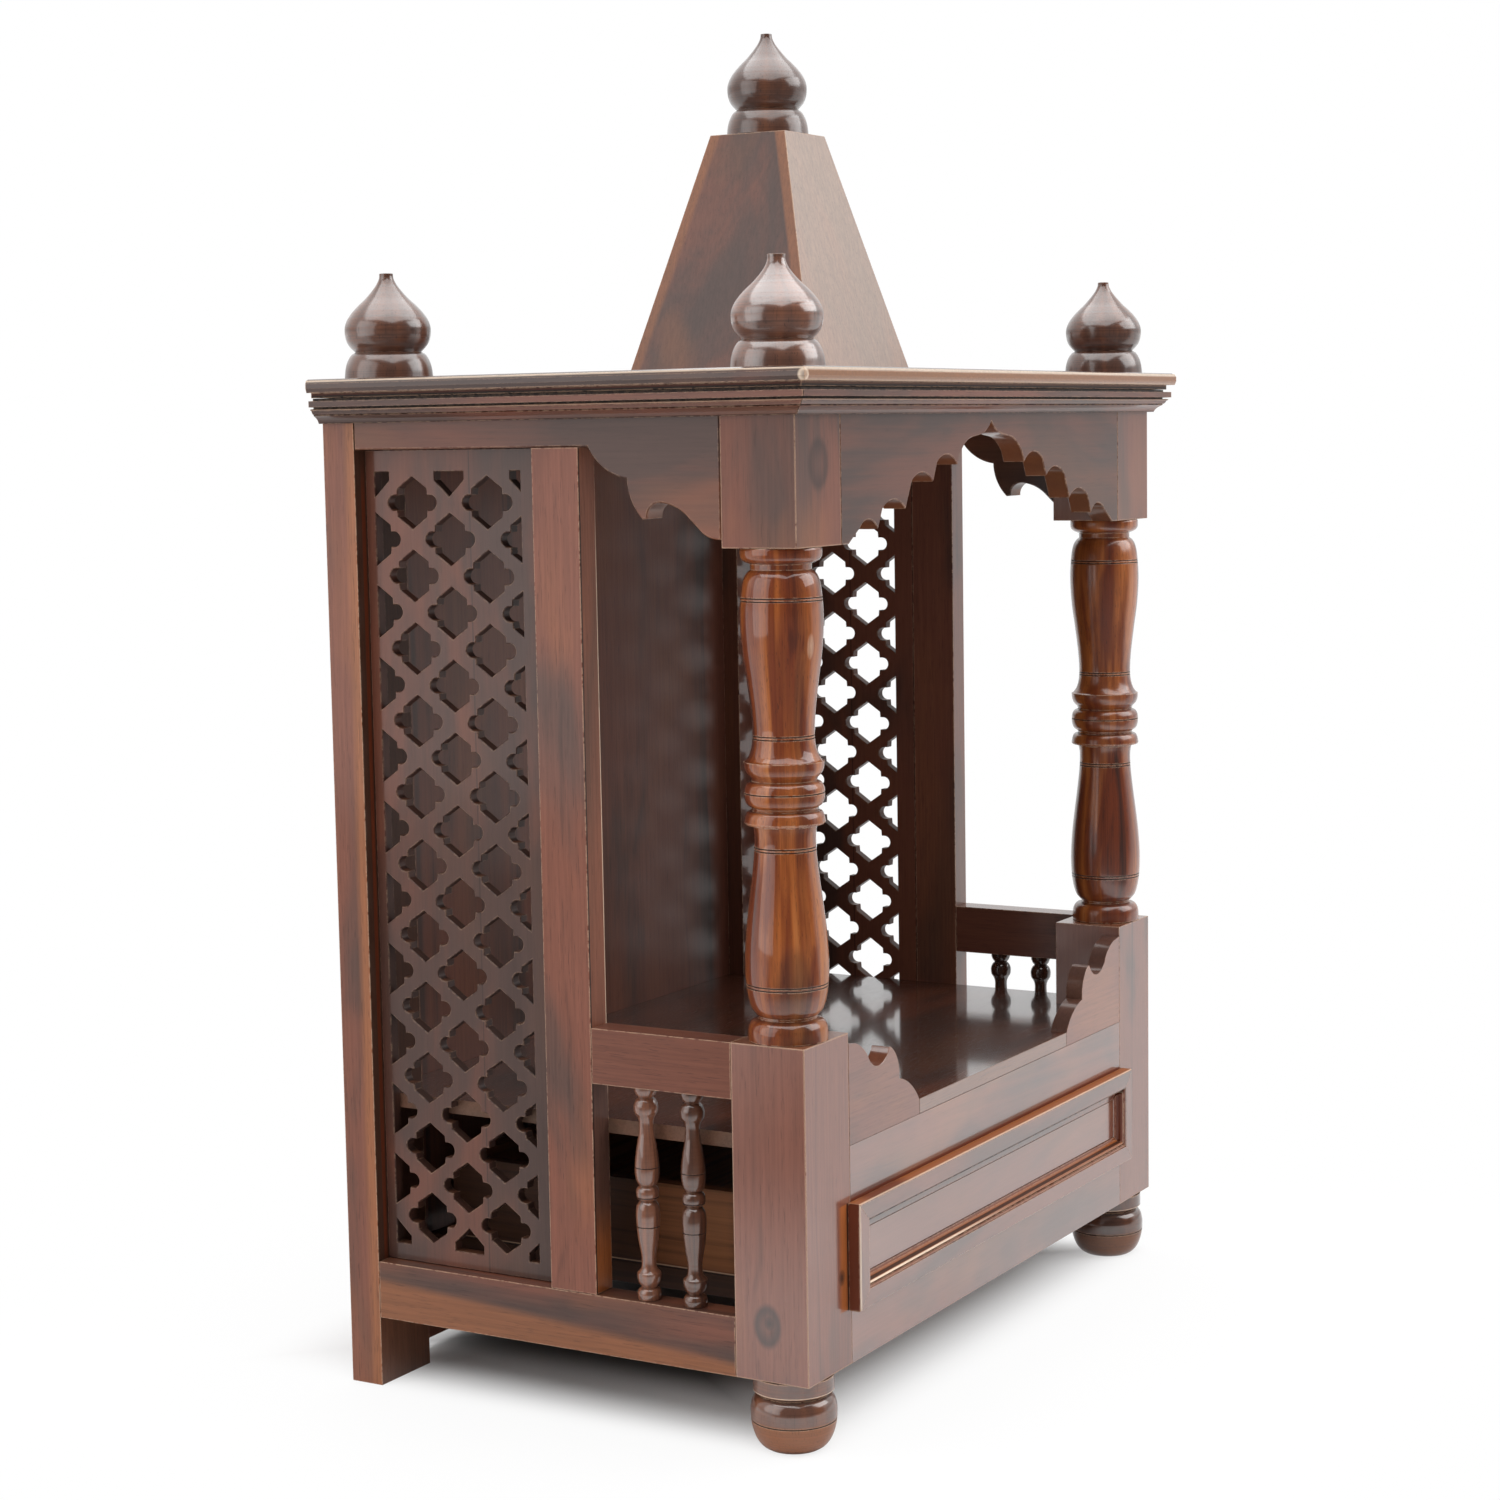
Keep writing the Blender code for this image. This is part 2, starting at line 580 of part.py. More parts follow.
def build_jali_panels(carcass):
    """Pierced fretwork panel in the rear opening of each side."""
    low = SIDE_RAIL_TOP + GAP
    high = TOP_RAIL_BOTTOM - GAP
    front = STILE_REAR + GAP
    rear = REAR_POST_FACE - GAP
    outline = [(front, low), (rear, low), (rear, high), (front, high)]
    centre_y = (front + rear) / 2 + JALI_REAR_SHIFT
    holes = jali_holes(centre_y, high - JALI_TOP_MARGIN, low + JALI_BOTTOM_MARGIN)
    for side, word in ((-1, "left"), (1, "right")):
        x_range = mirrored(side, JALI_SETBACK, JALI_SETBACK + JALI_THICKNESS)
        sawn_board(f"{word}_jali_panel", outline, "X", x_range[0], JALI_THICKNESS,
                   LACQUER_DARK, carcass, holes)


def bracket_outline():
    """Cusped bracket beside a front post as (run from the post, z)."""
    low = PLATFORM_UNDERSIDE + GAP
    height = POST_TOP - BRACKET_DROP - low

    def spot(share):
        return BRACKET_LENGTH * share[0], low + height * share[1]

    foot = [(0.0, low), (BRACKET_LENGTH, low), (BRACKET_LENGTH, PLATFORM_TOP)]
    return curved(foot, BRACKET_CURVES, spot)


def build_front(carcass):
    """Rails over and under the drawer, and the cusped bracket beside each post."""
    inner = BODY_WIDTH / 2 - POST_WIDTH - GAP
    board("front_lower_rail", (-inner, inner), (FRONT, FRONT + BOARD),
          (CARCASS_BOTTOM, LOWER_RAIL_TOP), LACQUER_DARK, carcass)
    board("front_upper_rail", (-inner, inner), (FRONT, FRONT + BOARD),
          (UPPER_RAIL_BOTTOM, PLATFORM_UNDERSIDE), LACQUER_DARK, carcass)
    for side, word in ((-1, "left"), (1, "right")):
        outline = [(side * (inner - run), z) for run, z in bracket_outline()]
        sawn_board(f"front_{word}_bracket", outline, "Y", FRONT, BRACKET_THICKNESS,
                   LACQUER_DARK, carcass)


def build_platform_and_back(carcass):
    """Platform notched round posts and brackets, the back panel and its lower rail."""
    side_x = BODY_WIDTH / 2 - BOARD - GAP
    post_x = BODY_WIDTH / 2 - POST_WIDTH - GAP
    rear_x = BODY_WIDTH / 2 - REAR_POST_WIDTH - GAP
    bracket_x = post_x - BRACKET_LENGTH - GAP
    back_y = BACK_PANEL_Y - GAP
    bracket_y = FRONT + BRACKET_THICKNESS + GAP
    half = [(bracket_x, FRONT), (bracket_x, bracket_y), (post_x, bracket_y),
            (post_x, POST_REAR + GAP), (side_x, POST_REAR + GAP),
            (side_x, REAR_POST_FACE - GAP), (rear_x, REAR_POST_FACE - GAP), (rear_x, back_y)]
    outline = half + [(-x, y) for x, y in reversed(half)]
    sawn_board("platform", outline, "Z", PLATFORM_UNDERSIDE + GAP, PLATFORM_THICKNESS - GAP,
               LACQUER_DARK, carcass)
    board("back_panel", (-rear_x, rear_x), (BACK_PANEL_Y, BACK_PANEL_Y + BACK_PANEL_THICKNESS),
          (BACK_RAIL_TOP + GAP, BOARD_TOP), LACQUER_DARK, carcass)
    board("back_lower_rail", (-rear_x, rear_x), (BACK - BACK_RAIL_THICKNESS, BACK),
          (BACK_RAIL_BOTTOM, BACK_RAIL_TOP), LACQUER_DARK, carcass)


def build_runners(carcass):
    """Hardwood strips that carry the drawer, from the front rail to the back rail."""
    inner = BODY_WIDTH / 2 - POST_WIDTH - DRAWER_SIDE_CLEARANCE
    top = LOWER_RAIL_TOP + DRAWER_RUNNING_CLEARANCE - GAP
    y_range = (FRONT + BOARD + GAP, BACK - BACK_RAIL_THICKNESS - GAP)
    for side, word in ((-1, "left"), (1, "right")):
        ends = (side * inner, side * (inner - RUNNER_WIDTH))
        board(f"{word}_drawer_runner", (min(ends), max(ends)), y_range,
              (top - RUNNER_HEIGHT, top), PLAIN_INSIDE, carcass)


def build_drawer(drawer):
    """Drawer front with a raised mitred frame, and its box on the runners."""
    half = BODY_WIDTH / 2 - POST_WIDTH + DRAWER_FRONT_OVERLAP
    face = FRONT - GAP - DRAWER_FRONT_THICKNESS
    height = DRAWER_FRONT_TOP - DRAWER_FRONT_BOTTOM
    bm = bmesh.new()
    bmesh.ops.create_cube(bm, size=1.0)
    bmesh.ops.scale(bm, vec=(2 * half, DRAWER_FRONT_THICKNESS, height), verts=bm.verts)
    front_face = min(bm.faces, key=lambda item: item.calc_center_median().y)
    bmesh.ops.inset_region(bm, faces=[front_face], thickness=DRAWER_FRAME_STRIP, use_even_offset=True)
    bmesh.ops.inset_region(bm, faces=[front_face], thickness=DRAWER_FRAME_BEVEL,
                           use_even_offset=True)
    for vert in front_face.verts:
        vert.co.y += DRAWER_PANEL_RECESS
    centre = Vector((0.0, face + DRAWER_FRONT_THICKNESS / 2, DRAWER_FRONT_BOTTOM + height / 2))
    add_object("drawer_front", bm, LACQUER_DARK, drawer, centre)

    outer = BODY_WIDTH / 2 - POST_WIDTH - DRAWER_SIDE_CLEARANCE
    inner = outer - DRAWER_SIDE_THICKNESS
    low = LOWER_RAIL_TOP + DRAWER_RUNNING_CLEARANCE
    high = UPPER_RAIL_BOTTOM - DRAWER_RUNNING_CLEARANCE
    rear = FRONT + DRAWER_BOX_DEPTH
    back_face = rear - DRAWER_SIDE_THICKNESS
    for side, word in ((-1, "left"), (1, "right")):
        ends = (side * outer, side * inner)
        board(f"drawer_{word}_side", (min(ends), max(ends)), (FRONT, rear), (low, high),
              PLAIN_INSIDE, drawer)
    board("drawer_back", (GAP - inner, inner - GAP), (back_face, rear), (low, high),
          PLAIN_INSIDE, drawer)
    board("drawer_bottom", (GAP - inner, inner - GAP), (FRONT, back_face - GAP),
          (low + DRAWER_BOTTOM_RAISE, low + DRAWER_BOTTOM_RAISE + DRAWER_BOTTOM_THICKNESS),
          PLAIN_INSIDE, drawer)


def add_group(name):
    group = bpy.data.objects.new(name, None)
    bpy.context.scene.collection.objects.link(group)
    return group


def build_mandir():
    clear_scene()
    carcass = add_group("carcass_group")
    drawer = add_group("drawer_group")
    build_top_plate(carcass)
    build_cornice(carcass)
    build_spire(carcass)
    build_frieze(carcass)
    build_front_corners(carcass)
    build_side_frames(carcass)
    build_balusters(carcass)
    build_jali_panels(carcass)
    build_front(carcass)
    build_platform_and_back(carcass)
    build_runners(carcass)
    build_drawer(drawer)


build_mandir()
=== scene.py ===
"""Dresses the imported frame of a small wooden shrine, a pooja mandir.

Turned, fretted and pierced pieces are rebuilt finely over their plain solids, and every
board gets lacquered sheesham with its own grain. Lengths are in metres.
"""

import math
from collections import namedtuple

import bmesh
import bpy
from bpy.props import FloatProperty, FloatVectorProperty, IntProperty, PointerProperty
from mathutils import Matrix, Vector


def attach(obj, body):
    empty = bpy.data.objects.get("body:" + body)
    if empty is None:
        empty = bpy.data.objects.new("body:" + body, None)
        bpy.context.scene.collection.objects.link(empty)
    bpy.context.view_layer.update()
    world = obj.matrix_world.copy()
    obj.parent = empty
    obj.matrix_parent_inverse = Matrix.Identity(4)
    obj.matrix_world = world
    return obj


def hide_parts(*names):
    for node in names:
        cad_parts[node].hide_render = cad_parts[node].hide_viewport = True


bl_info = {
    "name": "Pooja mandir dressing",
    "version": (1, 0, 0),
    "blender": (4, 5, 0),
    "location": "3D View > Sidebar > Mandir",
    "description": "Turned, fretted and lacquered pieces for a small wooden shrine",
    "category": "Object",
}

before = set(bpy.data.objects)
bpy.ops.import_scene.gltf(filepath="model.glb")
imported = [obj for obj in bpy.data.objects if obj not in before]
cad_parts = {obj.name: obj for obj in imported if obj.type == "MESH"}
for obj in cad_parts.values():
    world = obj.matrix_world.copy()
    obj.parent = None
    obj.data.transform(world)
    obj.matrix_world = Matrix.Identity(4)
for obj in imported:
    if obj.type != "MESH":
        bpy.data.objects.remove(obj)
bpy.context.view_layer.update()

# Camera of the photograph, for a square picture
CAMERA_PLACE = (-1.9106, -1.0810, 0.6669)
CAMERA_YAW = 59.923
CAMERA_PITCH = -6.1555
CAMERA_ROLL = -0.9625
CAMERA_LENS = 70.911
CAMERA_NEAR = 0.05
SENSOR_WIDTH = 36.0

SIDES = ((-1, "left"), (1, "right"))

# Directions of the room that the lacquer mirrors as dimmer
ROOM_DIM_SIDE = (-0.66, -0.75, 0.0)
ROOM_LEFT_SIDE = (-0.866, 0.5, 0.0)
DIM_SIDE_FADE = (0.20, 0.50)
DIM_SIDE_LEVEL = 0.05
LEFT_SIDE_FADE = (0.20, 0.80)
LEFT_SIDE_LEVEL = 0.75
SKIRTING_FOOT = (-0.01, 0.02)
SKIRTING_HEAD = (0.08, 0.24)
SKIRTING_DIM = 0.35

# Planes and sizes that pieces share
HALF_WIDTH = 0.2870
FRONT = -0.17685
BACK = 0.19455
POST_WIDTH = 0.0598
POST_REAR = -0.12225
STILE_FRONT = -0.01415
REAR_POST_FACE = 0.16845
BOARD = 0.0200
BOARD_TOP = 0.6940
TOP_BLOCK_BOTTOM = 0.5930
TOP_RAIL_BOTTOM = 0.6587
POST_TOP = 0.2730
SIDE_RAIL_TOP = 0.0900
ARM_RAIL_BOTTOM = 0.2352
PLATFORM_UNDERSIDE = 0.1970
PLATFORM_TOP = 0.2075
GAP = 0.0003
TURNING_AXIS = (0.2610, -0.15085)


def length_setting(name, description, default):
    return FloatProperty(name=name, description=description, default=default,
                         unit="LENGTH", subtype="DISTANCE")


def colour_setting(name, description, *default):
    return FloatVectorProperty(name=name, description=description, default=default,
                               subtype="COLOR", size=3)


def power_setting(name, description, default):
    return FloatProperty(name=name, description=description, default=default,
                         min=0.0, unit="POWER")


class MandirShapes(bpy.types.PropertyGroup):
    """Sizes of edges and turnings."""

    edge_ease: length_setting("Edge ease", "Width of the sanded edge on the boards", 0.0003)
    fret_ease: length_setting("Fret ease", "Width of the sanded edge round fretwork", 0.0005)
    turning_sides: IntProperty(
        name="Turning sides", description="Facets round a large turned piece", default=72, min=12)
    turning_step: length_setting(
        "Turning step", "Length of one facet along a turned or moulded curve", 0.0009)
    scribe_depth: length_setting(
        "Scribe depth", "Depth of the fine lines scribed round a large turning", 0.0004)


class MandirTimber(bpy.types.PropertyGroup):
    """Colours of the wood."""

    red: colour_setting("Red heartwood", "Reddish brown of most boards", 0.150, 0.052, 0.032)
    # Also painted shade on the stile's faces in the window and on the right bracket's cut faces
    dark: colour_setting("Dark heartwood", "Grey brown of the darker bands", 0.070, 0.036, 0.028)
    # Also the orange band of the painted highlight on the drawer's bottom bead
    sap: colour_setting("Sapwood", "Orange brown strips along some edges", 0.235, 0.085, 0.034)
    # Near black of veins, pores, knots, scribed lines and joints, and also painted shade in
    # quirks, coves, reveals, creases and under the plate
    vein: colour_setting("Vein", "Nearly black veins and joints", 0.024, 0.013, 0.011)
    # Pale wood of worn edges and unlacquered end faces, and also painted light on the spire's
    # front and back faces and a painted highlight on the cornice's bead; it also makes a pale line
    # low on the drawer's side and a band low on the plate's front
    bare: colour_setting("Worn edge", "Pale wood where an edge is worn", 0.480, 0.310, 0.210)
    # Mostly painted highlights: bright lines on nosings, arrises and beads, and a bright ring at
    # the plate's rounded corner
    pale: colour_setting("Bright edge", "Cream of nosings and fine edges", 0.780, 0.610, 0.460)
    # Also a painted reflection of the drawer's end on the front left post, and the orange lower
    # end of the painted shade on the stile in the window
    column: colour_setting("Column wood", "Orange brown of the columns", 0.270, 0.078, 0.018)
    # Also painted shadow on the rail above the drawer and under the plate, and painted shade in
    # the drawer's right moulding
    column_red: colour_setting("Red streak", "Deep red streaks and faces", 0.110, 0.022, 0.008)
    # Also a painted highlight patch on the drawer's side
    golden: colour_setting("Golden streak", "Lightest streaks and faces", 0.360, 0.140, 0.045)
    bulb: colour_setting(
        "Small turnings", "Red brown of finials, feet and balusters", 0.150, 0.058, 0.032)
    inside: colour_setting("Inside wood", "Plain wood of the drawer's box", 0.230, 0.085, 0.033)


class MandirStage(bpy.types.PropertyGroup):
    """Floor, background and lamps."""

    floor: colour_setting("Floor", "Colour of the pale floor", 0.88, 0.88, 0.88)
    floor_radius: length_setting("Floor radius", "Radius of the floor", 14.0)
    shadow_reach: length_setting(
        "Shadow reach", "How far inside the shrine's edges the white floor starts", 0.075)
    ambient: FloatProperty(
        name="Ambient", description="Level of the even light from all round", default=0.52,
        min=0.0)
    window: power_setting("Window", "Power of the soft lamp on the left", 14.0)
    front: power_setting("Front", "Power of the soft lamp at the front right", 30.0)
    top: power_setting("Top", "Power of the soft lamp overhead", 66.0)


class Value:
    """One output of a shader node; arithmetic on it adds Math nodes."""

    def __init__(self, finish, socket):
        self.finish = finish
        self.socket = socket

    def __add__(self, other):
        return self.finish.math("ADD", self, other)

    __radd__ = __add__

    def __sub__(self, other):
        return self.finish.math("SUBTRACT", self, other)

    def __rsub__(self, other):
        return self.finish.math("SUBTRACT", other, self)

    def __mul__(self, other):
        return self.finish.math("MULTIPLY", self, other)

    __rmul__ = __mul__

    def __truediv__(self, other):
        return self.finish.math("DIVIDE", self, other)

    def __abs__(self):
        return self.finish.math("ABSOLUTE", self)

    def __or__(self, other):
        return self.finish.math("MAXIMUM", self, other)


class Finish:
    """A material or world tree, with one method for any node and a few shorthands."""

    def __init__(self, owner, shader="Principled BSDF"):
        self.owner = owner
        owner.use_nodes = True
        self.nodes = owner.node_tree.nodes
        self.links = owner.node_tree.links
        self.shader = self.nodes[shader]

    def feed(self, socket, value):
        if isinstance(value, Value):
            self.links.new(value.socket, socket)
        else:
            socket.default_value = value

    def done(self, sockets):
        """The owner, once its shader has these values."""
        for key, value in sockets.items():
            self.feed(self.shader.inputs[key], value)
        return self.owner

    def node(self, kind, settings=None, sockets=None, output=0):
        made = self.nodes.new(kind)
        for key, value in (settings or {}).items():
            setattr(made, key, value)
        for key, value in (sockets or {}).items():
            self.feed(made.inputs[key], value)
        return Value(self, made.outputs[output])

    def math(self, operation, *values):
        return self.node("ShaderNodeMath", {"operation": operation}, dict(enumerate(values)))

    def vector(self, operation, *values, output=0):
        return self.node("ShaderNodeVectorMath", {"operation": operation},
                         dict(enumerate(values)), output)

    def blend(self, share, first, second, mode="MIX"):
        return self.node("ShaderNodeMix", {"data_type": "RGBA", "blend_type": mode},
                         {0: share, 6: first, 7: second}, 2)

    def step(self, value, low, high, start=0.0, end=1.0):
        """Value carried smoothly from start to end as it goes from low to high."""
        return self.node("ShaderNodeMapRange", {"interpolation_type": "SMOOTHSTEP"},
                         {"Value": value, "From Min": low, "From Max": high,
                          "To Min": start, "To Max": end})

    def noise(self, where, detail, roughness=0.5, distortion=0.0, scale=1.0):
        return self.node("ShaderNodeTexNoise", {"noise_dimensions": "3D"},
                         {"Vector": where, "Scale": scale, "Detail": detail,
                          "Roughness": roughness, "Distortion": distortion})

    def noise_line(self, where, detail, roughness):
        return self.node("ShaderNodeTexNoise", {"noise_dimensions": "1D"},
                         {"W": where, "Scale": 1.0, "Detail": detail, "Roughness": roughness})

    def parts(self, vector):
        split = self.node("ShaderNodeSeparateXYZ", sockets={0: vector})
        return [Value(self, socket) for socket in split.socket.node.outputs]

    def combine(self, x, y, z):
        return self.node("ShaderNodeCombineXYZ", sockets={0: x, 1: y, 2: z})

    def rays(self, *kinds):
        """Light Path's answers for some kinds of ray."""
        outputs = self.node("ShaderNodeLightPath").socket.node.outputs
        return [Value(self, outputs[f"Is {kind} Ray"]) for kind in kinds]


def opaque(colour):
    return (*colour, 1.0)


def graded(colour, share):
    return tuple(part * share for part in colour)


# Part of a piece in another colour: past a plane, or in a band of half a width about it.
# slope tilts it along the grain, facing keeps it to faces turned that way, spans keep it
# between two places, and dull takes lacquer off it.
Mark = namedtuple("Mark", "side edge past half slope soft share colour facing spans dull",
                  defaults=(0, 0.0, 0.0, 0.002, 0.88, "sap", None, (), 0.0))
# Streak along a turned piece at one bearing, in degrees round its axis
Stripe = namedtuple("Stripe", "bearing half colour share dull", defaults=(0.85, 0.0))
# Round blotch with its strength at the core and at the rim
Knot = namedtuple("Knot", "place width length core rim colour", defaults=(1.0, 0.55, "vein"))
# How one piece of timber looks: its tone, marks and knots, its wear and its gloss
Look = namedtuple(
    "Look", "seed dark light marks stripes knots wear veins scribed rough gloss coat coat_ior "
    "specular grain patches end ease",
    defaults=(0.5, 1.0, (), (), (), 1.0, 0.5, (), 0.36, 0.12, 1.0, 1.5, 0.12, 1.0, 0.25, 0.55,
              1.0))

GRAIN_ORDER = {"X": (0, 1, 2), "Y": (1, 2, 0), "Z": (2, 1, 0)}
GRAIN_VECTOR = {"X": (1.0, 0.0, 0.0), "Y": (0.0, 1.0, 0.0), "Z": (0.0, 0.0, 1.0)}
SEED_STEP = 3.7

# Waves in a metre along and across the grain
WANDER_WAVES = (2.6, 11.0)
ZONE_WAVES = (3.4, 10.0)
SAP_WAVES = (5.0, 13.0)
FIBRE_WAVES = (14.0, 520.0)
PORE_WAVES = (70.0, 1500.0)
INSIDE_ZONE_WAVES = (3.0, 14.0)
INSIDE_FIBRE_WAVES = (16.0, 480.0)
RING_WAVES = 70.0
INSIDE_RING_WAVES = 160.0
CHIP_WAVES = 210.0
SMEAR_WAVES = 26.0
TURNED_STREAK_WAVES = 7.0
TURNED_LINE_WAVES = 620.0

# Reach of the ring wander across and into a board, and of a knot's push on the rings
RING_WANDER = (0.040, 0.024)
KNOT_PUSH = 0.004
KNOT_SHARE = 0.85
WORN_RADIUS = 0.0009
WORN_RADIUS_GAIN = 0.0004
BUMP_HEIGHT = 0.0005
INSIDE_BUMP_HEIGHT = 0.0004

# Ranges of the tree's centre from a board, across it and into it, and of the grain's slope
HEART_ACROSS = (-0.09, 0.09)
HEART_DEEP = (0.05, 0.11)
GRAIN_SLOPE = (-0.06, 0.06)
# Levels between which each feature fades in or out
SAP_FADE = (0.50, 0.68)
SAP_BAND_FADE = (0.62, 0.44)
PALE_FADE = (0.57, 0.68)
KNOT_CORE_FADE = (0.10, 0.75)
KNOT_RIM_FADE = (0.70, 1.05)
VEIN_FADE = (0.60, 0.74)
END_FADE = (0.80, 0.95)
FIBRE_FADE = (0.25, 0.75)
PORE_FADE = (0.63, 0.70)
WORN_FADE = (0.010, 0.080)
# Numbers that scatter the seeded values
SCATTER = (12.9898, 4.1414, 43758.5453)

WELD_REACH = 0.00001
FLAT_DEGREES = 1.0
EASED_DEGREES = 25.0
# Length below which two points count as one
NO_LENGTH = 1e-9
NO_NORMAL = 1e-6
# Least cosine of half a corner's turn, which keeps sharp corners from spiking
LEAST_COSINE = 0.5


def seeded(seed, low, high):
    """A fixed number between low and high for each seed."""
    rate, start, spread = SCATTER
    share = math.sin(seed * rate + start) * spread
    return low + (high - low) * (share - math.floor(share))


def stretched(finish, spot, waves, *shifts):
    """Spot counted in waves along and across the grain, moved by each shift that isn't 0."""
    scales = (waves[0], waves[1], waves[1])
    return finish.combine(*(part * scale + shift if shift else part * scale
                            for part, scale, shift in zip(spot, scales, shifts)))


def board_grain(finish, look, timbers, spot, wander, knot_push):
    """Colour, growth bands and fibres of a sawn board; spot runs along the grain first."""
    along, across, deep = spot
    shift = look.seed * SEED_STEP
    tilt = seeded(look.seed + 0.9, *GRAIN_SLOPE)
    ring_x = across - seeded(look.seed, *HEART_ACROSS) + along * tilt + wander * RING_WANDER[0]
    ring_y = deep - seeded(look.seed + 0.5, *HEART_DEEP) + wander * RING_WANDER[1]
    ring = finish.vector("LENGTH", finish.combine(ring_x, ring_y, 0.0), output=1) + knot_push
    bands = finish.noise_line(ring * RING_WAVES + shift, 4.0, 0.60)
    zones = finish.noise(stretched(finish, spot, ZONE_WAVES, shift, shift, 0), 3.0, 0.55, 0.9)
    tone = zones * 0.78 + bands * 0.22
    dark_mask = finish.step(tone, 0.62 - 0.30 * look.dark, 0.80 - 0.30 * look.dark)
    colour = finish.blend(dark_mask, opaque(graded(timbers.red, look.light)),
                          opaque(graded(timbers.dark, look.light)))
    warm = finish.noise(stretched(finish, spot, SAP_WAVES, -shift, 0, 0), 3.0)
    colour = finish.blend(finish.step(warm, *SAP_FADE, 0.0, look.patches), colour,
                          opaque(graded(timbers.sap, look.light)))
    bands = bands * finish.step(warm, *SAP_BAND_FADE, 0.72, 1.0)
    fibres = finish.noise(stretched(finish, spot, FIBRE_WAVES, shift, 0, 0), 3.0, 0.6)
    return colour, bands, fibres


def turned_grain(finish, look, timbers, height, around, kind):
    """Colour, streaks and fibres of a turned piece, laid round its own axis."""
    shift = look.seed * SEED_STEP
    round_x, round_y = around
    broad = finish.noise(finish.combine(round_x * 1.2 + shift, round_y * 1.2,
                                        height * TURNED_STREAK_WAVES), 2.0, 0.5)
    if kind == "column":
        body, deep, pale = timbers.column, timbers.column_red, timbers.golden
        spread, deep_share, pale_share = 0.09, 0.95, 0.55
        fibres = finish.noise(
            finish.combine(round_x * 34.0 + shift, round_y * 34.0, height * 18.0), 3.0, 0.6)
    else:
        body, deep, pale = timbers.bulb, timbers.dark, timbers.sap
        spread, deep_share, pale_share = 0.10, 0.65, 0.40
        fibres = finish.noise_line(height * TURNED_LINE_WAVES + shift, 3.0, 0.6)
    streaks = finish.noise(finish.combine(
        round_x * 1.9, round_y * 1.9 + shift,
        height * TURNED_STREAK_WAVES + broad * 2.5), 3.0, 0.55)
    tone = streaks * 0.6 + broad * 0.4
    edge = 0.38 + 0.16 * look.dark
    colour = finish.blend(finish.step(tone, edge - spread, edge + spread, deep_share, 0.0),
                          opaque(graded(body, look.light)), opaque(graded(deep, look.light)))
    colour = finish.blend(finish.step(tone, *PALE_FADE, 0.0, pale_share), colour,
                          opaque(graded(pale, look.light)))
    return colour, 1.02 - streaks, fibres


def mark_mask(finish, mark, axes, along, wander, geometry):
    """Share of a mark at each spot."""
    place = axes["XYZ".index(mark.side)] - mark.edge - along * mark.slope
    if mark.half:
        mask = finish.step(abs(place), mark.half * 0.6, mark.half, 1.0, 0.0)
    else:
        mask = finish.step(place * mark.past + wander * mark.soft, -mark.soft, mark.soft)
    if mark.facing:
        turned = finish.vector("DOT_PRODUCT", geometry, GRAIN_VECTOR[mark.facing], output=1)
        mask = mask * finish.step(abs(turned), 0.4, 0.7)
    for side, low, high, soft in mark.spans:
        spot = axes["XYZ".index(side)]
        mask = (mask * finish.step(spot, low - soft, low + soft)
                * finish.step(spot, high - soft, high + soft, 1.0, 0.0))
    return mask


def stripe_mask(finish, stripe, around, wander):
    """Share of a streak at each bearing round a turned piece."""
    bearing, half = math.radians(stripe.bearing), math.radians(stripe.half)
    cos, sin = math.cos(bearing), math.sin(bearing)
    across = around[0] * sin - around[1] * cos + wander * 0.10
    near = around[0] * cos + around[1] * sin
    inner, outer = math.sin(half * 0.7), math.sin(min(half * 1.3, 1.5))
    patchy = finish.step(wander, -0.12, 0.10, 0.15, 1.0)
    return finish.step(abs(across), inner, outer, 1.0, 0.0) * finish.step(near, 0.0, 0.2) * patchy


def knot_masks(finish, look, grain, spot, wander):
    """Share of each knot, and how far they push the growth rings aside."""
    masks = []
    push = 0.0
    for knot in look.knots:
        centre = [knot.place[i] for i in GRAIN_ORDER[grain]]
        run = (spot[0] - centre[0]) / knot.length
        side, back = ((spot[i] - centre[i]) / knot.width for i in (1, 2))
        reach = finish.vector("LENGTH", finish.combine(run, side, back), output=1)
        reach = reach + wander * 0.35
        inside = finish.step(reach, *KNOT_CORE_FADE, knot.core, knot.rim)
        masks.append((knot, finish.step(reach, *KNOT_RIM_FADE, 1.0, 0.0) * inside))
        push = push + finish.step(reach, 0.0, 3.0, KNOT_PUSH, 0.0)
    return masks, push


def worn_edges(finish, look, axes, geometry):
    """Share of worn wood along the arrises."""
    radius = WORN_RADIUS + WORN_RADIUS_GAIN * look.wear
    eased = finish.node("ShaderNodeBevel", {"samples": 4}, {"Radius": radius})
    turn = finish.vector("DOT_PRODUCT", eased, geometry, output=1)
    shift = look.seed * SEED_STEP
    chips = finish.noise(finish.combine(*(part * CHIP_WAVES + shift for part in axes)), 3.0, 0.7)
    scarce = 0.60 - 0.10 * look.wear
    worn = finish.step(1.0 - turn, *WORN_FADE) * finish.step(chips, scarce - 0.12, scarce)
    return worn * min(look.wear, 1.0)


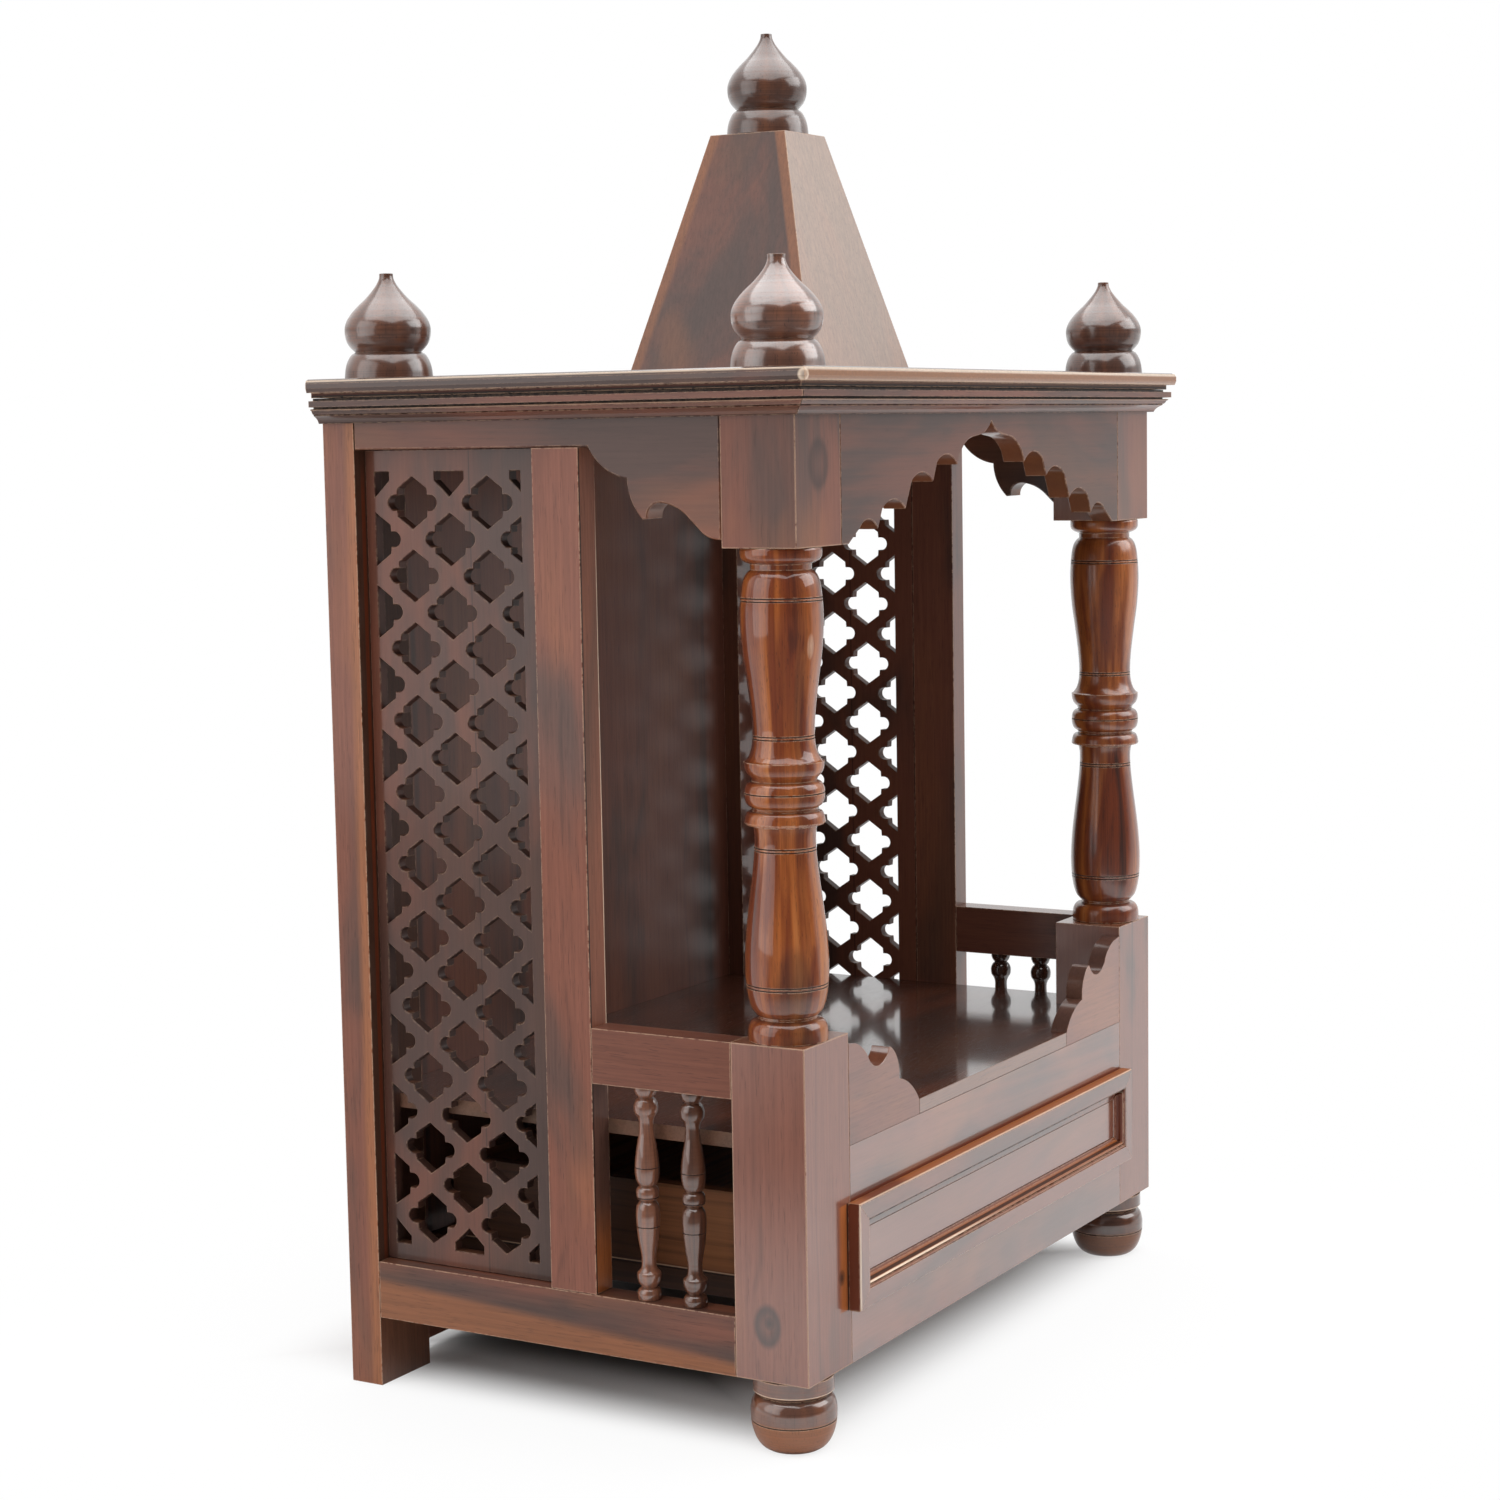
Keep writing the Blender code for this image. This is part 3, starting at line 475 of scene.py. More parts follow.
def timber(name, grain, look, turning=None, axis=(0.0, 0.0)):
    """Lacquered sheesham with growth bands, veins, pores, end grain and worn edges.

    turning is None for a board, or "column" or "bulb" for wood turned about an upright axis.
    """
    timbers = bpy.context.scene.mandir_timber
    finish = Finish(bpy.data.materials.new(name))
    axes = finish.parts(finish.node("ShaderNodeTexCoord", output="Object"))
    spot = [axes[i] for i in GRAIN_ORDER[grain]]
    shift = look.seed * SEED_STEP
    wander = finish.noise(stretched(finish, spot, WANDER_WAVES, shift, shift, 0), 3.0, 0.55) - 0.5
    knots, knot_push = knot_masks(finish, look, grain, spot, wander)
    geometry = finish.node("ShaderNodeNewGeometry", output="Normal")
    masks = [(mark, mark_mask(finish, mark, axes, spot[0], wander, geometry))
             for mark in look.marks]
    if turning:
        around = finish.parts(finish.vector("NORMALIZE", finish.combine(
            axes[0] - axis[0], axes[1] - axis[1], 0.0)))[:2]
        colour, bands, fibres = turned_grain(finish, look, timbers, axes[2], around, turning)
        masks += [(stripe, stripe_mask(finish, stripe, around, wander))
                  for stripe in look.stripes]
    else:
        colour, bands, fibres = board_grain(finish, look, timbers, spot, wander, knot_push)
    vein_mask = finish.step(bands, *VEIN_FADE, 0.0, look.veins)
    colour = finish.blend(vein_mask, colour, opaque(timbers.vein))
    facing = finish.vector("DOT_PRODUCT", geometry, GRAIN_VECTOR[grain], output=1)
    end_mask = finish.step(abs(facing), *END_FADE, 0.0, 0.30 if turning else look.end)
    colour = finish.blend(end_mask, colour, opaque(timbers.dark if turning else timbers.sap))

    lacquer = 1.0
    for mark, mask in masks:
        if mark.colour:
            shade = graded(getattr(timbers, mark.colour), look.light)
            colour = finish.blend(mask * mark.share, colour, opaque(shade))
        if mark.dull:
            lacquer = lacquer * (1.0 - mask * mark.dull)
    for knot, mask in knots:
        colour = finish.blend(mask * KNOT_SHARE, colour, opaque(getattr(timbers, knot.colour)))
    grainy = finish.step(fibres, *FIBRE_FADE,
                         1.0 - 0.15 * look.grain, 1.0 + 0.11 * look.grain)
    colour = finish.blend(1.0, colour, finish.combine(grainy, grainy, grainy), "MULTIPLY")
    pores = finish.noise(stretched(finish, spot, PORE_WAVES, 0, shift, 0), 1.0, 0.5)
    pore_mask = finish.step(pores, *PORE_FADE, 0.0, 0.35 * look.grain)
    colour = finish.blend(pore_mask, colour, opaque(timbers.vein))
    worn = worn_edges(finish, look, axes, geometry)
    colour = finish.blend(worn, colour, opaque(timbers.bare))

    if look.scribed:
        scribes, *others = [finish.step(abs(axes[2] - height), half * 0.55, half, 1.0, 0.0)
                            for height, half in look.scribed]
        for line in others:
            scribes = scribes | line
        colour = finish.blend(scribes * 0.95, colour, opaque(timbers.vein))
        lacquer = lacquer * (1.0 - scribes * 0.9)

    smear = finish.noise(finish.combine(*(part * SMEAR_WAVES for part in axes)), 2.0, 0.5)
    roughness = smear * 0.10 + (look.rough - 0.05) + worn * 0.30 + pore_mask * 0.12
    if turning == "bulb":
        lacquer = lacquer * finish.step(fibres, 0.35, 0.75, 1.0, 0.72)
    bump = finish.node("ShaderNodeBump", sockets={
        "Strength": 0.12 if turning else 0.20 * look.grain, "Distance": BUMP_HEIGHT,
        "Height": fibres * 0.35 - pore_mask * 0.8 + smear * 0.6})
    return finish.done({
        "Base Color": colour, "Roughness": roughness, "Normal": bump,
        "Specular IOR Level": look.specular, "Coat Roughness": look.gloss,
        "Coat IOR": look.coat_ior,
        "Coat Weight": (1.0 - worn * 0.8 - pore_mask * 0.5) * look.coat * lacquer})


def plain_timber(name, grain, seed, marks):
    """Sanded, unlacquered wood of the drawer's box and runners."""
    timbers = bpy.context.scene.mandir_timber
    finish = Finish(bpy.data.materials.new(name))
    axes = finish.parts(finish.node("ShaderNodeTexCoord", output="Object"))
    spot = [axes[i] for i in GRAIN_ORDER[grain]]
    shift = seed * 2.3
    slow = stretched(finish, spot, INSIDE_ZONE_WAVES, shift, 0, shift)
    wander = finish.noise(slow, 2.0, 0.5) - 0.5
    rings = (spot[1] + spot[2] + wander * 0.02) * INSIDE_RING_WAVES
    bands = finish.noise_line(rings + shift, 3.0, 0.6)
    fibres = finish.noise(stretched(finish, spot, INSIDE_FIBRE_WAVES, 0, shift, 0), 3.0, 0.6)
    colour = finish.blend(finish.step(bands, 0.4, 0.7), opaque(timbers.inside),
                          opaque(graded(timbers.inside, 0.62)))
    geometry = finish.node("ShaderNodeNewGeometry", output="Normal")
    for mark in marks:
        mask = mark_mask(finish, mark, axes, spot[0], wander, geometry)
        colour = finish.blend(mask * mark.share, colour, opaque(getattr(timbers, mark.colour)))
    grainy = finish.step(fibres, 0.2, 0.8, 0.86, 1.10)
    colour = finish.blend(1.0, colour, finish.combine(grainy, grainy, grainy), "MULTIPLY")
    bump = finish.node("ShaderNodeBump", sockets={
        "Strength": 0.3, "Distance": INSIDE_BUMP_HEIGHT, "Height": fibres})
    return finish.done({"Base Color": colour, "Roughness": fibres * 0.15 + 0.42,
                        "Specular IOR Level": 0.25, "Normal": bump})


def dress(board, wood, ease):
    """Wood on all faces of a board kept from the frame, and sanded edges."""
    if board.material_slots:
        for slot in board.material_slots:
            slot.material = wood
    else:
        board.data.materials.append(wood)
    weld = board.modifiers.new("weld", "WELD")
    weld.merge_threshold = WELD_REACH
    flat = board.modifiers.new("flat", "DECIMATE")
    flat.decimate_type = "DISSOLVE"
    flat.angle_limit = math.radians(FLAT_DEGREES)
    bevel = board.modifiers.new("ease", "BEVEL")
    bevel.width = ease
    bevel.segments = 2
    bevel.limit_method = "ANGLE"
    bevel.angle_limit = math.radians(EASED_DEGREES)


def add_piece(name, bm, grain, look, body, nodes=(), smooth=35.0, turning=None,
              axis=(0.0, 0.0)):
    """Piece of its own lacquered wood that rides on a body and may stand for some nodes."""
    bmesh.ops.recalc_face_normals(bm, faces=bm.faces)
    mesh = bpy.data.meshes.new(name)
    bm.to_mesh(mesh)
    bm.free()
    mesh.materials.append(timber(f"{name}_wood", grain, look, turning, axis))
    mesh.shade_smooth()
    mesh.set_sharp_from_angle(angle=math.radians(smooth))
    made = bpy.data.objects.new(name, mesh)
    bpy.context.scene.collection.objects.link(made)
    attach(made, body)
    if nodes:
        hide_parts(*nodes)


def spline(points, step):
    """Smooth curve through points, in pieces about one step long."""
    if len(points) == 2:
        return [points[0], points[1]]
    knots = [Vector(point) for point in points]
    knots = [2 * knots[0] - knots[1], *knots, 2 * knots[-1] - knots[-2]]
    curve = [tuple(knots[1])]
    for a, b, c, d in zip(knots, knots[1:], knots[2:], knots[3:]):
        t1 = max((b - a).length, NO_LENGTH) ** 0.5
        t2 = t1 + max((c - b).length, NO_LENGTH) ** 0.5
        t3 = t2 + max((d - c).length, NO_LENGTH) ** 0.5
        count = max(1, round((c - b).length / step))
        for i in range(1, count + 1):
            t = t1 + (t2 - t1) * i / count
            ab = a * ((t1 - t) / t1) + b * (t / t1)
            bc = b * ((t2 - t) / (t2 - t1)) + c * ((t - t1) / (t2 - t1))
            cd = c * ((t3 - t) / (t3 - t2)) + d * ((t - t2) / (t3 - t2))
            abc = ab * ((t2 - t) / t2) + bc * (t / t2)
            bcd = bc * ((t3 - t) / (t3 - t1)) + cd * ((t - t1) / (t3 - t1))
            curve.append(tuple(abc * ((t2 - t) / (t2 - t1)) + bcd * ((t - t1) / (t2 - t1))))
    return curve


def smooth_line(runs, step, across=1.0, along=1.0):
    """Line through smooth runs of points that meet at sharp corners.

    Each run after the first starts where the one before it ended.
    """
    line, corner = [], []
    for run in runs:
        points = corner + [(a * across, b * along) for a, b in run]
        line += spline(points, step)[len(corner):]
        corner = points[-1:]
    return line


def scribed(profile, heights, half, depth):
    """Profile with a fine notch at each height."""
    result = list(profile)
    for height in heights:
        index = next(i for i in range(len(result) - 1)
                     if result[i][1] >= height >= result[i + 1][1])
        (r1, z1), (r2, z2) = result[index], result[index + 1]
        share = (z1 - height) / (z1 - z2)
        radius = r1 + (r2 - r1) * share
        near = [point for point in result[:index + 1] if point[1] > height + half]
        far = [point for point in result[index + 1:] if point[1] < height - half]
        result = [*near, (radius, height + half), (radius - depth, height),
                  (radius, height - half), *far]
    return result


def turned_mesh(profile, seat, sides):
    """Closed lathe form from (radius, height) pairs, from the top down."""
    bm = bmesh.new()
    rings = []
    for radius, height in profile:
        rings.append([bm.verts.new((seat[0] + radius * math.cos(math.tau * i / sides),
                                    seat[1] + radius * math.sin(math.tau * i / sides),
                                    seat[2] + height)) for i in range(sides)])
    for upper, lower in zip(rings, rings[1:]):
        for i in range(sides):
            j = (i + 1) % sides
            bm.faces.new((upper[i], upper[j], lower[j], lower[i]))
    bm.faces.new(rings[0])
    bm.faces.new(rings[-1])
    return bm


def mitred_mesh(section, ends):
    """Moulding of one section; ends gives where each point of it starts and stops."""
    bm = bmesh.new()
    pairs = [ends(*point) for point in section]
    first, last = [[bm.verts.new(pair[end]) for pair in pairs] for end in (0, 1)]
    for i in range(len(section)):
        j = (i + 1) % len(section)
        bm.faces.new((first[i], first[j], last[j], last[i]))
    bm.faces.new(first)
    bm.faces.new(last)
    return bm


def arc(start, end, sagitta):
    """Points after start up to end on a circle; a positive sagitta bulges left."""
    a, b = Vector(start), Vector(end)
    chord = b - a
    half = chord.length / 2
    radius = (half * half + sagitta * sagitta) / (2 * abs(sagitta))
    left = Vector((-chord.y, chord.x)).normalized()
    side = 1 if sagitta > 0 else -1
    centre = (a + b) / 2 + left * side * (abs(sagitta) - radius)
    begin, finish = a - centre, b - centre
    sweep = begin.angle_signed(finish)
    points = []
    for i in range(1, ARC_STEPS + 1):
        turn = -sweep * i / ARC_STEPS
        cos, sin = math.cos(turn), math.sin(turn)
        points.append((centre.x + begin.x * cos - begin.y * sin,
                       centre.y + begin.x * sin + begin.y * cos))
    return points


def area_sign(loop):
    total = sum(a[0] * b[1] - b[0] * a[1] for a, b in zip(loop, loop[1:] + loop[:1]))
    return 1.0 if total > 0 else -1.0


def offset_loop(loop, distance):
    """Closed outline moved outward by distance, or inward where it is negative."""
    sign = area_sign(loop)
    moved = []
    for i, point in enumerate(loop):
        before, after = Vector(loop[i - 1]), Vector(loop[(i + 1) % len(loop)])
        here = Vector(point)
        first, second = (here - before).normalized(), (after - here).normalized()
        normal = Vector((first.y + second.y, -first.x - second.x))
        normal = normal.normalized() if normal.length > NO_NORMAL else Vector((first.y, -first.x))
        cosine = max(normal.dot(Vector((first.y, -first.x))), LEAST_COSINE)
        moved.append(tuple(here + normal * (sign * distance / cosine)))
    return moved


def fretted_mesh(outline, holes, axis, start, thickness, ease):
    """Board sawn to an outline with holes, its edges eased on both faces.

    The outline's pairs are (y, z) along X and (x, z) along Y.
    """
    place = {
        "X": lambda a, b, depth: (depth, a, b),
        "Y": lambda a, b, depth: (a, depth, b),
    }[axis]
    bm = bmesh.new()
    loops = [(outline, offset_loop(outline, -ease))]
    loops += [(hole, offset_loop(hole, ease)) for hole in holes]
    depths = ((start, True), (start + ease, False),
              (start + thickness - ease, False), (start + thickness, True))
    layers = []
    for depth, is_face in depths:
        layer = []
        for full, eased in loops:
            points = eased if is_face else full
            layer.append([bm.verts.new(place(a, b, depth)) for a, b in points])
        layers.append(layer)
    for upper, lower in zip(layers, layers[1:]):
        for one, other in zip(upper, lower):
            for i in range(len(one)):
                bm.faces.new((one[i - 1], one[i], other[i], other[i - 1]))
    for layer in (layers[0], layers[-1]):
        edges = [bm.edges.get((loop[i - 1], loop[i])) for loop in layer for i in range(len(loop))]
        bmesh.ops.triangle_fill(bm, use_beauty=True, use_dissolve=False, edges=edges)
    return bm


# The floor under the shrine: how far its front counts, where its back ends, and its fades
FLOOR_SIDES = 96
FRONT_SHARE = 0.8
FLOOR_REAR = 0.30
WHITE_SHARES = (0.9, 0.1)
WHITE_REACHES = (0.2, 4.0)
DEEP_SHADE = (-0.13, -0.07)
DEEP_SHADE_SHARE = 0.9
DEEP_SHADE_TONE = 0.05
FLOOR_ROUGHNESS = 0.8
MOTTLE_TONE = 0.97
DIM_FLOOR = (0.05, 0.05, 0.05)
DIM_FLOOR_REACH = (0.5, 1.1)
WHITE = (1.0, 1.0, 1.0, 1.0)

# Lamps: place, aim, width, height and the setting that holds their power
LAMPS = {
    "left_window_lamp": ((-1.85, 0.95, 1.08), (0.0, 0.0, 0.50), 1.9, 1.9, "window"),
    "front_right_lamp": ((1.20, -2.00, 1.75), (0.6, -0.6, 0.0), 2.2, 1.5, "front"),
    "overhead_lamp": ((-0.1, -0.1, 2.35), (-0.1, -0.09, 0.4), 3.2, 2.9, "top"),
}


class MANDIR_OT_stage(bpy.types.Operator):
    """Floor, white background, soft lamps and the camera"""

    bl_idname = "mandir.stage"
    bl_label = "Stage"

    def execute(self, context):
        stage = context.scene.mandir_stage
        self.add_camera(context.scene)
        self.add_floor(context.scene, stage)
        self.light_world(context.scene, stage)
        self.add_lamps(context.scene, stage)
        context.scene.view_settings.view_transform = "Standard"
        return {"FINISHED"}

    def add_camera(self, scene):
        yaw, pitch = math.radians(CAMERA_YAW), math.radians(CAMERA_PITCH)
        roll = math.radians(CAMERA_ROLL)
        forward = Vector((math.sin(yaw) * math.cos(pitch), math.cos(yaw) * math.cos(pitch),
                          math.sin(pitch)))
        right = Vector((math.cos(yaw), -math.sin(yaw), 0.0))
        up = right.cross(forward)
        rolled_right = right * math.cos(roll) + up * math.sin(roll)
        rolled_up = up * math.cos(roll) - right * math.sin(roll)
        data = bpy.data.cameras.new("camera")
        data.sensor_width = SENSOR_WIDTH
        data.lens = CAMERA_LENS
        data.clip_start = CAMERA_NEAR
        camera = bpy.data.objects.new("camera", data)
        turn = Matrix((rolled_right, rolled_up, -forward)).transposed()
        camera.matrix_world = Matrix.Translation(CAMERA_PLACE) @ turn.to_4x4()
        scene.collection.objects.link(camera)
        scene.camera = camera

    def mirrored_level(self, finish, way):
        """How bright the room is that the lacquer mirrors in a direction: 1 is white."""
        dim_side = finish.vector("DOT_PRODUCT", way, ROOM_DIM_SIDE, output=1)
        left_side = finish.vector("DOT_PRODUCT", way, ROOM_LEFT_SIDE, output=1)
        height = finish.parts(way)[2]
        skirting = (finish.step(height, *SKIRTING_FOOT)
                    * finish.step(height, *SKIRTING_HEAD, SKIRTING_DIM, 0.0))
        return (finish.step(dim_side, *DIM_SIDE_FADE, 1.0, DIM_SIDE_LEVEL)
                * finish.step(left_side, *LEFT_SIDE_FADE, 1.0, LEFT_SIDE_LEVEL)
                * (1.0 - skirting))

    def add_floor(self, scene, stage):
        bm = bmesh.new()
        bmesh.ops.create_circle(bm, cap_ends=True, segments=FLOOR_SIDES,
                                radius=stage.floor_radius)
        mesh = bpy.data.meshes.new("studio_floor")
        bm.to_mesh(mesh)
        bm.free()
        floor = bpy.data.objects.new("studio_floor", mesh)
        scene.collection.objects.link(floor)

        finish = Finish(bpy.data.materials.new("pale_floor"))
        spot = finish.node("ShaderNodeTexCoord", output="Object")
        distance = finish.vector("LENGTH", spot, output=1)
        x, y, _ = finish.parts(spot)
        outside = (abs(x) - HALF_WIDTH) | ((y * -1.0 + FRONT) * FRONT_SHARE) | (y - FLOOR_REAR)
        level = self.mirrored_level(finish, finish.vector("NORMALIZE", spot))
        camera_ray, glossy = finish.rays("Camera", "Glossy")
        reach = stage.shadow_reach
        near = finish.step(outside, -reach, reach * WHITE_REACHES[0], 0.0, WHITE_SHARES[0])
        far = finish.step(outside, 0.0, reach * WHITE_REACHES[1], 0.0, WHITE_SHARES[1])
        whitened = (near + far) * (camera_ray | (glossy * level))
        mottle = finish.step(finish.noise(spot, 3.0, 0.6, scale=3.0), 0.3, 0.7)
        tint = finish.blend(mottle, opaque(stage.floor),
                            opaque(graded(stage.floor, MOTTLE_TONE)))
        tint = finish.blend(finish.step(outside, *DEEP_SHADE, DEEP_SHADE_SHARE, 0.0), tint,
                            opaque(graded(stage.floor, DEEP_SHADE_TONE)))
        mesh.materials.append(finish.done({"Base Color": tint, "Roughness": FLOOR_ROUGHNESS}))
        white, dim = (finish.node("ShaderNodeEmission", sockets={"Color": colour})
                      for colour in (WHITE, opaque(DIM_FLOOR)))
        dimmed = (1.0 - level) * finish.step(distance, *DIM_FLOOR_REACH) * glossy
        mirrored = finish.node("ShaderNodeMixShader", sockets={
            0: dimmed, 1: Value(finish, finish.shader.outputs[0]), 2: dim})
        mixed = finish.node("ShaderNodeMixShader", sockets={0: whitened, 1: mirrored, 2: white})
        finish.feed(finish.nodes["Material Output"].inputs["Surface"], mixed)

    def light_world(self, scene, stage):
        finish = Finish(bpy.data.worlds.new("studio"), "Background")
        camera_ray, glossy, transmitted = finish.rays("Camera", "Glossy", "Transmission")
        mirrored = glossy | transmitted
        way = finish.node("ShaderNodeTexCoord", output="Generated")
        seen = camera_ray | (mirrored * self.mirrored_level(finish, way))
        ambient = (1.0 - (camera_ray | mirrored)) * stage.ambient
        scene.world = finish.done({"Color": WHITE, "Strength": seen + ambient})

    def add_lamps(self, scene, stage):
        for name, (place, aim, width, height, power) in LAMPS.items():
            data = bpy.data.lights.new(name, "AREA")
            data.shape = "RECTANGLE"
            data.size = width
            data.size_y = height
            data.energy = getattr(stage, power)
            lamp = bpy.data.objects.new(name, data)
            lamp.location = place
            way = Vector(aim) - Vector(place)
            lamp.rotation_euler = way.to_track_quat("-Z", "Y").to_euler()
            lamp.visible_camera = False
            scene.collection.objects.link(lamp)


# Side, edge and past of a mark that is held by its facing and spans alone
EVERYWHERE = ("Z", -1.0, 1)

# Boards kept from the frame: grain axis and look
BOARDS = {
    "rear_left_post": ("Z", Look(1, dark=0.50, light=1.2, coat=0.5, patches=0.4, marks=(
        Mark("Y", 0.176, -1, soft=0.004),
        # On faces turned front or back: darker towards the bottom, and above the rail nearly
        # black, painted shade in the jali's reveal, with a red band down it
        Mark("Z", 0.070, -1, facing="Y", colour="dark", share=0.6, soft=0.01),
        Mark("Z", 0.086, 1, facing="Y", colour="vein", share=0.85, dull=0.9),
        Mark("X", -0.2782, half=0.0024, facing="Y", colour="column_red", share=0.8,
             spans=(("Z", 0.086, 0.640, 0.020),))))),
    "rear_right_post": ("Z", Look(2, dark=0.55, light=0.9)),
    "left_bottom_rail": ("Y", Look(3, dark=0.66, light=1.0, coat=0.5,
                                   marks=(Mark("Z", 0.066, -1, slope=0.065, soft=0.004),))),
    "right_bottom_rail": ("Y", Look(4, dark=0.55)),
    "left_middle_stile": ("Z", Look(5, dark=0.38, light=1.28, coat=0.45, patches=0.4, marks=(
        Mark(*EVERYWHERE, facing="Y", share=0.20, dull=0.85),
        # Painted shade on the faces turned front or back in the window: dark below the arm rail,
        # turning orange towards the bottom
        Mark("Z", 0.236, -1, soft=0.004, colour="dark", share=0.85, facing="Y"),
        Mark("Z", 0.135, -1, soft=0.025, colour="column", share=0.75, facing="Y"),
        Mark("X", -0.2859, half=0.0010, facing="Y", colour="vein", share=0.95, dull=1.0),
        Mark("X", -0.2676, half=0.0006, facing="Y", colour="pale", share=0.55,
             spans=(("Z", 0.24, 0.60, 0.03),))))),
    "right_middle_stile": ("Z", Look(6, dark=0.45)),
    "left_arm_rail": ("Y", Look(7, dark=0.40, light=1.0, coat=0.45, patches=0.35)),
    "right_arm_rail": ("Y", Look(8, dark=0.45, light=0.85)),
    "front_left_post": ("Z", Look(9, dark=0.34, light=1.25, wear=2.2, coat=0.8, coat_ior=2.0,
                                  grain=1.0, patches=0.4, marks=(
        # Painted reflection of the drawer's end as an orange strip on the post's front, and a
        # painted shadow line where the drawer meets the post
        Mark("X", -0.2420, 1, soft=0.0030, colour="column", share=0.8, facing="Y", dull=0.9,
             spans=(("Z", 0.0875, 0.1590, 0.0006),)),
        Mark("X", -0.2317, half=0.0011, colour="vein", share=0.95, facing="Y", dull=0.9,
             spans=(("Z", 0.0870, 0.1593, 0.0006),))),
                                  knots=(Knot((-0.287, -0.1465, 0.0868), 0.0112, 0.0162,
                                              core=0.45, rim=0.95),
                                         Knot((-0.287, -0.1480, 0.0890), 0.0040, 0.0050),
                                         Knot((-0.2402, -0.17685, 0.1111), 0.0048, 0.0060)))),
    "front_right_post": ("Z", Look(10, dark=0.35, light=1.2, coat_ior=1.9, grain=0.6)),
    "upper_left_block": ("Z", Look(11, dark=0.55, light=1.12, veins=0.2, wear=1.6, coat=0.4,
                                   patches=0.55, grain=0.7,
                                   knots=(Knot((-0.2565, -0.17685, 0.6457), 0.0160, 0.0200,
                                               core=0.25, rim=0.75),))),
    "upper_right_block": ("Z", Look(12, dark=0.55, coat=0.7, grain=0.5)),
    "front_lower_rail": ("X", Look(13, dark=0.40, light=1.35, coat_ior=2.35, grain=0.35,
                                   patches=0.4, wear=0.3, ease=0.4)),
    "front_upper_rail": ("X", Look(14, dark=0.48, light=1.25, coat_ior=2.45, grain=0.35,
                                   patches=0.4, wear=0.1, ease=0.4, marks=(
        # Painted shadow: a dark red line on the rail's front just above the drawer
        Mark("Z", 0.1613, -1, soft=0.0006, colour="column_red", share=0.92, facing="Y",
             dull=0.95),))),
    "platform": ("X", Look(15, dark=0.70, light=0.72, veins=0.6, gloss=0.09, coat_ior=2.55,
                           wear=0.1, ease=0.4, end=0.0, marks=(
        Mark("Y", -0.1755, -1, soft=0.0008),
        Mark(*EVERYWHERE, facing="X", colour="bare", share=0.25, dull=1.0)))),
    "back_panel": ("Z", Look(16, dark=0.50, light=0.82, gloss=0.25, coat=0.6)),
    "back_lower_rail": ("X", Look(17, dark=0.60)),
    "top_plate": ("Y", Look(18, dark=0.95, light=0.72, wear=1.2, end=0.0, marks=(
        Mark(*EVERYWHERE, facing="Y", colour="golden", share=0.85),
        Mark("Z", 0.6992, -1, soft=0.0010, facing="Y", colour="bare", share=0.8),
        # Painted shadow under the plate's overhang: dark red, then nearly black
        Mark("Z", 0.6978, -1, soft=0.0004, colour="column_red", share=0.8, dull=0.9),
        Mark("Z", 0.6960, -1, soft=0.0003, colour="vein", share=0.95, dull=0.95),
        # Painted highlights along the top arrises of the front and sides
        Mark("Z", 0.7046, 1, soft=0.0007, facing="Y", colour="pale", share=0.95),
        Mark("Z", 0.7051, 1, soft=0.0004, facing="X", colour="pale", share=0.85)),
                            # Painted highlight: a bright ring at the rounded front corner
                            knots=(Knot((-0.3044, -0.1941, 0.7012), 0.0050, 0.0050,
                                        core=0.3, rim=0.8, colour="pale"),))),
}

INSIDE_BOARDS = {
    "left_drawer_runner": "Y", "right_drawer_runner": "Y", "drawer_left_side": "Y",
    "drawer_right_side": "Y", "drawer_back": "X", "drawer_bottom": "X",
}
INSIDE_MARKS = {
    # Painted shade: the left runner nearly black
    "left_drawer_runner": (Mark(*EVERYWHERE, colour="vein", share=0.85),),
    "drawer_left_side": (
        # On the drawer's side: a painted highlight patch, painted shade towards its back and along
        # its bottom, and a pale line above that
        Mark("Y", -0.060, half=0.022, colour="golden", share=0.30,
             spans=(("Z", 0.100, 0.146, 0.008),)),
        Mark("Y", -0.012, 1, soft=0.010, colour="vein", share=0.75),
        Mark("Z", 0.0940, -1, soft=0.0004, colour="vein", share=0.90),
        Mark("Z", 0.0942, half=0.0006, colour="bare", share=0.70),
    ),
}


class MANDIR_OT_boards(bpy.types.Operator):
    """Grain, gloss and sanded edges for the plain boards of the carcass"""

    bl_idname = "mandir.boards"
    bl_label = "Plain boards"

    def execute(self, context):
        ease = context.scene.mandir_shapes.edge_ease
        for name, (grain, look) in BOARDS.items():
            dress(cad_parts[name], timber(f"{name}_wood", grain, look), ease * look.ease)
        return {"FINISHED"}


class MANDIR_OT_inside(bpy.types.Operator):
    """Unlacquered wood of the drawer's box and its runners"""

    bl_idname = "mandir.inside"
    bl_label = "Drawer box and runners"

    def execute(self, context):
        ease = context.scene.mandir_shapes.edge_ease
        for seed, (name, grain) in enumerate(INSIDE_BOARDS.items(), 1):
            wood = plain_timber(f"{name}_wood", grain, seed, INSIDE_MARKS.get(name, ()))
            dress(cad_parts[name], wood, ease)
        return {"FINISHED"}


